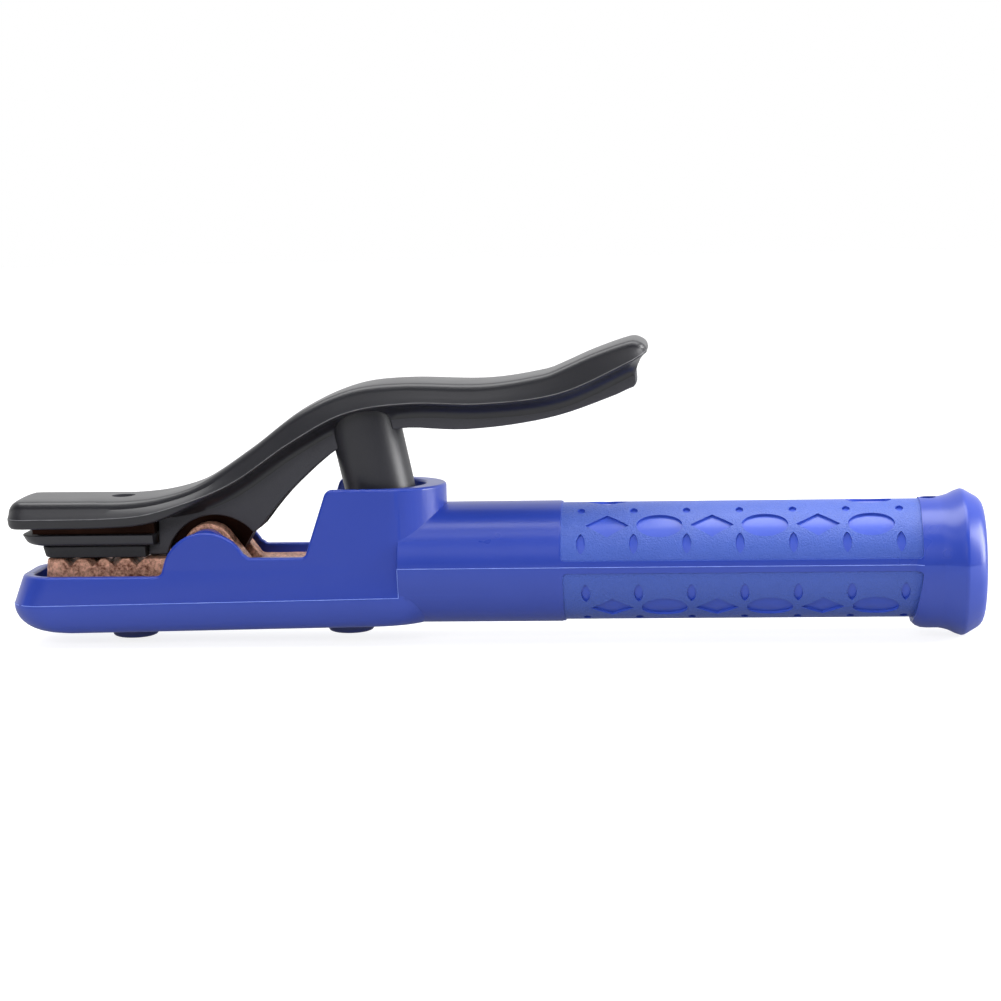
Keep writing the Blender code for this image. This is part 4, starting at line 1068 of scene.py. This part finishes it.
# %% [markdown]
# ## The copper casting
# The conductor is one rough casting: a toothed jaw, two hinge lugs, a bar under the spring and a socket for
# the cable. It is put together from slabs and rods, and the V grooves are cut across the jaw. A voxel
# remesh then evens out the mesh, and a cloudy displacement gives it the uneven skin of a sand casting.


# %% Casting
JAW_TOP = 3.1 * MM
BAR_TOP = 1.8 * MM
CAST_LOW = -9.2 * MM


def jaw_block():
    """The jaw leans out a little towards its foot and is rounded at its corners."""
    rings = []
    for up, inset in ((CAST_LOW, -0.7 * MM), (2.4 * MM, 0.0), (2.85 * MM, 0.12 * MM), (JAW_TOP, 0.45 * MM)):
        rings.append(blunt_plan(-43.3 * MM + inset, -5 * MM, 8.3 * MM - inset, 3.2 * MM, up))
    return loft("jaw", rings)


def lug_block():
    lugs = [(-11 * MM, BAR_TOP - 3 * MM), (10.9 * MM, BAR_TOP - 3 * MM), (10.9 * MM, BAR_TOP)]
    lugs += arc((0, 5.5 * MM), 6.6 * MM, 38, 150, 24) + [(-11 * MM, BAR_TOP + 1 * MM)]
    return slab("lugs", from_deck(lugs), 9.3 * MM)


def groove(along, angle):
    """A V-shaped cutter across the jaw, wider than the jaw is."""
    half = 2.4 * MM
    tip = 2.0 * MM
    outline = [(-half, 0.5 * MM), (0, -tip), (half, 0.5 * MM)]
    cutter = slab("groove", outline, 13 * MM)
    place = Matrix.Translation((HINGE.x + along, 0, DECK_Z + JAW_TOP))
    cutter.data.transform(place @ Matrix.Rotation(math.radians(angle), 4, "Z"))
    return cutter


def make_casting():
    bar_side = [(-11 * MM, CAST_LOW), (52.6 * MM, CAST_LOW), (52.6 * MM, BAR_TOP), (-11 * MM, BAR_TOP)]
    neck_side = [(48 * MM, -6.4 * MM), (60.5 * MM, -6.4 * MM), (60.5 * MM, BAR_TOP), (48 * MM, BAR_TOP)]
    axis_point = (HINGE.x, 0, HANDLE_AXIS_Z)
    along_x = (1, 0, 0)
    casting = slab("casting", from_deck(bar_side), 9.3 * MM)
    combine(casting, "UNION", lug_block(), slab("neck", from_deck(neck_side), 6.4 * MM))
    combine(casting, "UNION", rod("socket", 57.5 * MM, 97.0 * MM, 9.3 * MM, axis_point, along_x, 96))
    knuckle_space = [
        (-14.5 * MM, 9.7 * MM), (-7 * MM, 3 * MM), (-4.5 * MM, -0.5 * MM), (0, -1.4 * MM),
        (6 * MM, -0.5 * MM), (11.6 * MM, 1.2 * MM), (11.6 * MM, 20 * MM), (-14.5 * MM, 20 * MM),
    ]
    cuts = [rod("cable_bore", 62 * MM, 99 * MM, 6.3 * MM, axis_point, along_x, 64)]
    cuts += [slab("knuckle_space", from_deck(knuckle_space), 3.7 * MM)]
    cuts += [rod("pin_hole", -15 * MM, 15 * MM, 3.2 * MM, HINGE, (0, 1, 0), 48)]
    for x in (-0.28 * MM, 14.73 * MM):
        cuts.append(rod("screw_hole", 0, 12 * MM, 3.2 * MM, (x, 0, HANDLE_AXIS_Z), (0, 0, 1), 32))
    combine(casting, "DIFFERENCE", *cuts)
    return casting


def make_jaw():
    """The toothed end, whose back meets the lugs: two straight grooves and two that cross between them."""
    jaw = jaw_block()
    places = ((-36.6 * MM, 0), (-27.8 * MM, 19.5), (-27.8 * MM, -19.5), (-19.2 * MM, 0))
    combine(jaw, "DIFFERENCE", *[groove(along, angle) for along, angle in places])
    space = [(-14.5 * MM, 9.7 * MM), (-7 * MM, 3 * MM), (-4 * MM, -0.5 * MM), (-4 * MM, 9.7 * MM)]
    return combine(jaw, "DIFFERENCE", slab("space", from_deck(space), 3.7 * MM))


def roughen(casting, voxel):
    """Even the mesh out, then push it in and out by a twentieth of a millimetre."""
    finish_modifier(casting, "REMESH", mode="VOXEL", voxel_size=voxel, use_smooth_shade=True)
    for size, strength in ((1.1 * MM, 0.13 * MM), (4.0 * MM, 0.14 * MM)):
        texture = bpy.data.textures.new("casting skin", "CLOUDS")
        texture.noise_scale = size
        texture.noise_depth = 2
        finish_modifier(casting, "DISPLACE", texture=texture, strength=strength, mid_level=0.5)
    casting.data.materials.clear()
    return paint(casting, COPPER)


for casting in (roughen(make_casting(), 0.5 * MM), roughen(make_jaw(), 0.26 * MM)):
    report(casting)
    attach(casting, "root")
    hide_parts("conductor")

# %% [markdown]
# ## The main spring
# The coil is a path with a round section: a helix worked out turn by turn. It stays in the body.


# %% Spring
def make_spring():
    turns = 7.5
    coil = 6.0 * MM
    wire = 0.85 * MM
    low = 2.3 * MM
    length = 29.6 * MM
    count = int(turns * 40) + 1
    side = SLEEVE_AXIS.orthogonal().normalized()
    across = SLEEVE_AXIS.cross(side)
    data = bpy.data.curves.new("spring_coil", "CURVE")
    data.dimensions = "3D"
    data.bevel_depth = wire
    data.bevel_resolution = 4
    data.use_fill_caps = True
    line = data.splines.new("POLY")
    line.points.add(count - 1)
    for i, point in enumerate(line.points):
        share = i / (count - 1)
        angle = math.tau * turns * share
        around = (side * math.cos(angle) + across * math.sin(angle)) * coil
        point.co = (*(SLEEVE_BASE + SLEEVE_AXIS * (low + length * share) + around), 1)
    spring = bpy.data.objects.new("spring_coil", data)
    bpy.context.scene.collection.objects.link(spring)
    take(spring)
    bpy.ops.object.convert(target="MESH")
    return paint(bpy.context.active_object, SPRING_STEEL)


spring = report(shade(make_spring(), 50))
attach(spring, "root")
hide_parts("main_spring")
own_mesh(spring)

# %% [markdown]
# ## Foot caps
# Two push-in plugs cover the screws that hold the body to the casting, and the holder rests on the front
# one. Each is a turned button with a rounded rim.


# %% Caps
def make_cap_plug(name, along):
    place = (HINGE.x + along, 0, 0)
    radius = 6.0 * MM
    low = underside(place[0]) - 2.4 * MM
    face = underside(place[0] - radius) - 0.3 * MM
    profile = [(low, 0), (low, radius - 1.6 * MM), (low + 0.07 * MM, radius - 0.95 * MM)]
    profile += [(low + 0.3 * MM, radius - 0.4 * MM), (low + 0.65 * MM, radius - 0.12 * MM)]
    stem = 4.3 * MM
    stem_top = 4.8 * MM
    profile += [(low + 1.1 * MM, radius), (face, radius), (face, stem), (stem_top, stem), (stem_top, 0)]
    return paint(turned(name, profile, place, (0, 0, 1), 96), BLUE_PLUG)


for name, node, along in zip(("front_plug", "rear_plug"), ("front_foot_cap", "rear_foot_cap"), SCREW_PLACES):
    plug = report(shade(make_cap_plug(name, along), 30))
    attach(plug, "root")
    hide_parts(node)

# %% [markdown]
# ## Pieces that keep their frame shape
# The screws, washers, pin and rivets are simple turned parts, and the frame already has them right. They
# only need a finish. The copper pieces inside, such as the arm in the lever, are painted nearly black,
# as painted shade for the deep recesses they sit in.

# %% Finishes for frame pieces
FRAME_FINISHES = {
    "hinge_pin": STEEL,
    "front_lock_washer": STEEL,
    "rear_lock_washer": STEEL,
    "front_body_screw": STEEL,
    "rear_body_screw": STEEL,
    "spring_seat": BLACK_DULL,
    "cable_clamp_strip": COPPER_PAINTED_SHADE,
    "cable_screw_front": STEEL,
    "cable_screw_rear": STEEL,
    "handle_lock_screw": SPRING_STEEL,
    "upper_arm": COPPER_PAINTED_SHADE,
    "cover_screw": SPRING_STEEL,
    "pad_rivet_front": COPPER_PAINTED_SHADE,
    "pad_rivet_rear": COPPER_PAINTED_SHADE,
    "spring_top_washer": STEEL,
    "spring_post_screw": STEEL,
}
for node, chosen in FRAME_FINISHES.items():
    nodes[node].material_slots[0].material = chosen
print("finished", len(FRAME_FINISHES), "frame pieces")

# %% [markdown]
# ## Floor, light and camera
# The floor is white acrylic lit from below: it glows a little, so shadows on it stay faint. A large soft
# light from above and a narrow one in front give the two long bright bands on the handle. The world is
# white to the camera and dim in front, so that the sides keep their colour.


# %% Floor
bpy.ops.mesh.primitive_plane_add(size=6, location=(0, 0, -0.2 * MM))
floor = bpy.context.active_object
floor.name = "studio_floor"
pale = finish("pale floor", (0.30, 0.30, 0.30), (0.31, 0.31, 0.31), (0.7, 0.8), (200, 20, 0.5), 0.00001)
glow = pale.node_tree.nodes["Principled BSDF"]
glow.inputs["Emission Color"].default_value = (1, 1, 1, 1)
seen = pale.node_tree.nodes.new("ShaderNodeLightPath")
level = pale.node_tree.nodes.new("ShaderNodeMapRange")
level.inputs["To Min"].default_value = 0.22
level.inputs["To Max"].default_value = 0.82
pale.node_tree.links.new(seen.outputs["Is Camera Ray"], level.inputs["Value"])
pale.node_tree.links.new(level.outputs["Result"], glow.inputs["Emission Strength"])
paint(floor, pale)


# %% World
def make_world():
    world = bpy.data.worlds.new("studio")
    world.use_nodes = True
    bpy.context.scene.world = world
    tree = world.node_tree
    back = tree.nodes["Background"]
    place = tree.nodes.new("ShaderNodeTexCoord")
    split = tree.nodes.new("ShaderNodeSeparateXYZ")
    spread = tree.nodes.new("ShaderNodeMapRange")
    spread.inputs["From Min"].default_value = -0.4
    spread.inputs["From Max"].default_value = 0.5
    spread.inputs["To Min"].default_value = 0.05
    spread.inputs["To Max"].default_value = 1.0
    path = tree.nodes.new("ShaderNodeLightPath")
    most = tree.nodes.new("ShaderNodeMath")
    most.operation = "MAXIMUM"
    tree.links.new(place.outputs["Generated"], split.inputs["Vector"])
    tree.links.new(split.outputs["Y"], spread.inputs["Value"])
    tree.links.new(spread.outputs["Result"], most.inputs[0])
    tree.links.new(path.outputs["Is Camera Ray"], most.inputs[1])
    tree.links.new(most.outputs["Value"], back.inputs["Strength"])
    back.inputs["Color"].default_value = (1, 1, 1, 1)


make_world()
bpy.context.scene.view_settings.view_transform = "Standard"


# %% Soft lights
def soft_light(name, place, aim, size, power):
    """A square area light at place, turned to face aim."""
    data = bpy.data.lights.new(name, "AREA")
    data.shape = "RECTANGLE"
    data.size, data.size_y = size
    data.energy = power
    light = bpy.data.objects.new(name, data)
    bpy.context.scene.collection.objects.link(light)
    light.location = place
    light.rotation_euler = (Vector(aim) - Vector(place)).to_track_quat("-Z", "Y").to_euler()
    return light


soft_light("top_softbox", (0, 0.05, 0.9), (0, 0, 0), (1.4, 0.5), 12)
fill = soft_light("front_fill", (-0.2, -1.3, 0.75), (0, 0, 0.03), (1.2, 0.5), 15)
fill.visible_glossy = False
soft_light("front_strip", (0.1, -0.42, 0.85), (0, 0, 0.03), (1.6, 0.10), 1.8)
soft_light("right_strip", (0.95, 0.0, 0.30), (0, 0, 0.03), (0.45, 0.6), 11)

# %% Camera
AIM = Vector((2.713 * MM, 0, 35.55 * MM))
DISTANCE = 607.7 * MM
AZIMUTH = math.radians(5)
ELEVATION = math.radians(7.7)
ROLL = math.radians(-1.3)
bpy.ops.object.camera_add()
camera = bpy.context.active_object
camera.data.lens = 85
camera.data.sensor_width = 36
back = Vector((
    math.sin(AZIMUTH) * math.cos(ELEVATION),
    -math.cos(AZIMUTH) * math.cos(ELEVATION),
    math.sin(ELEVATION),
))
camera.location = AIM + back * DISTANCE
turn = (-back).to_track_quat("-Z", "Y").to_matrix() @ Matrix.Rotation(ROLL, 3, "Z")
camera.rotation_euler = turn.to_euler()
bpy.context.scene.camera = camera
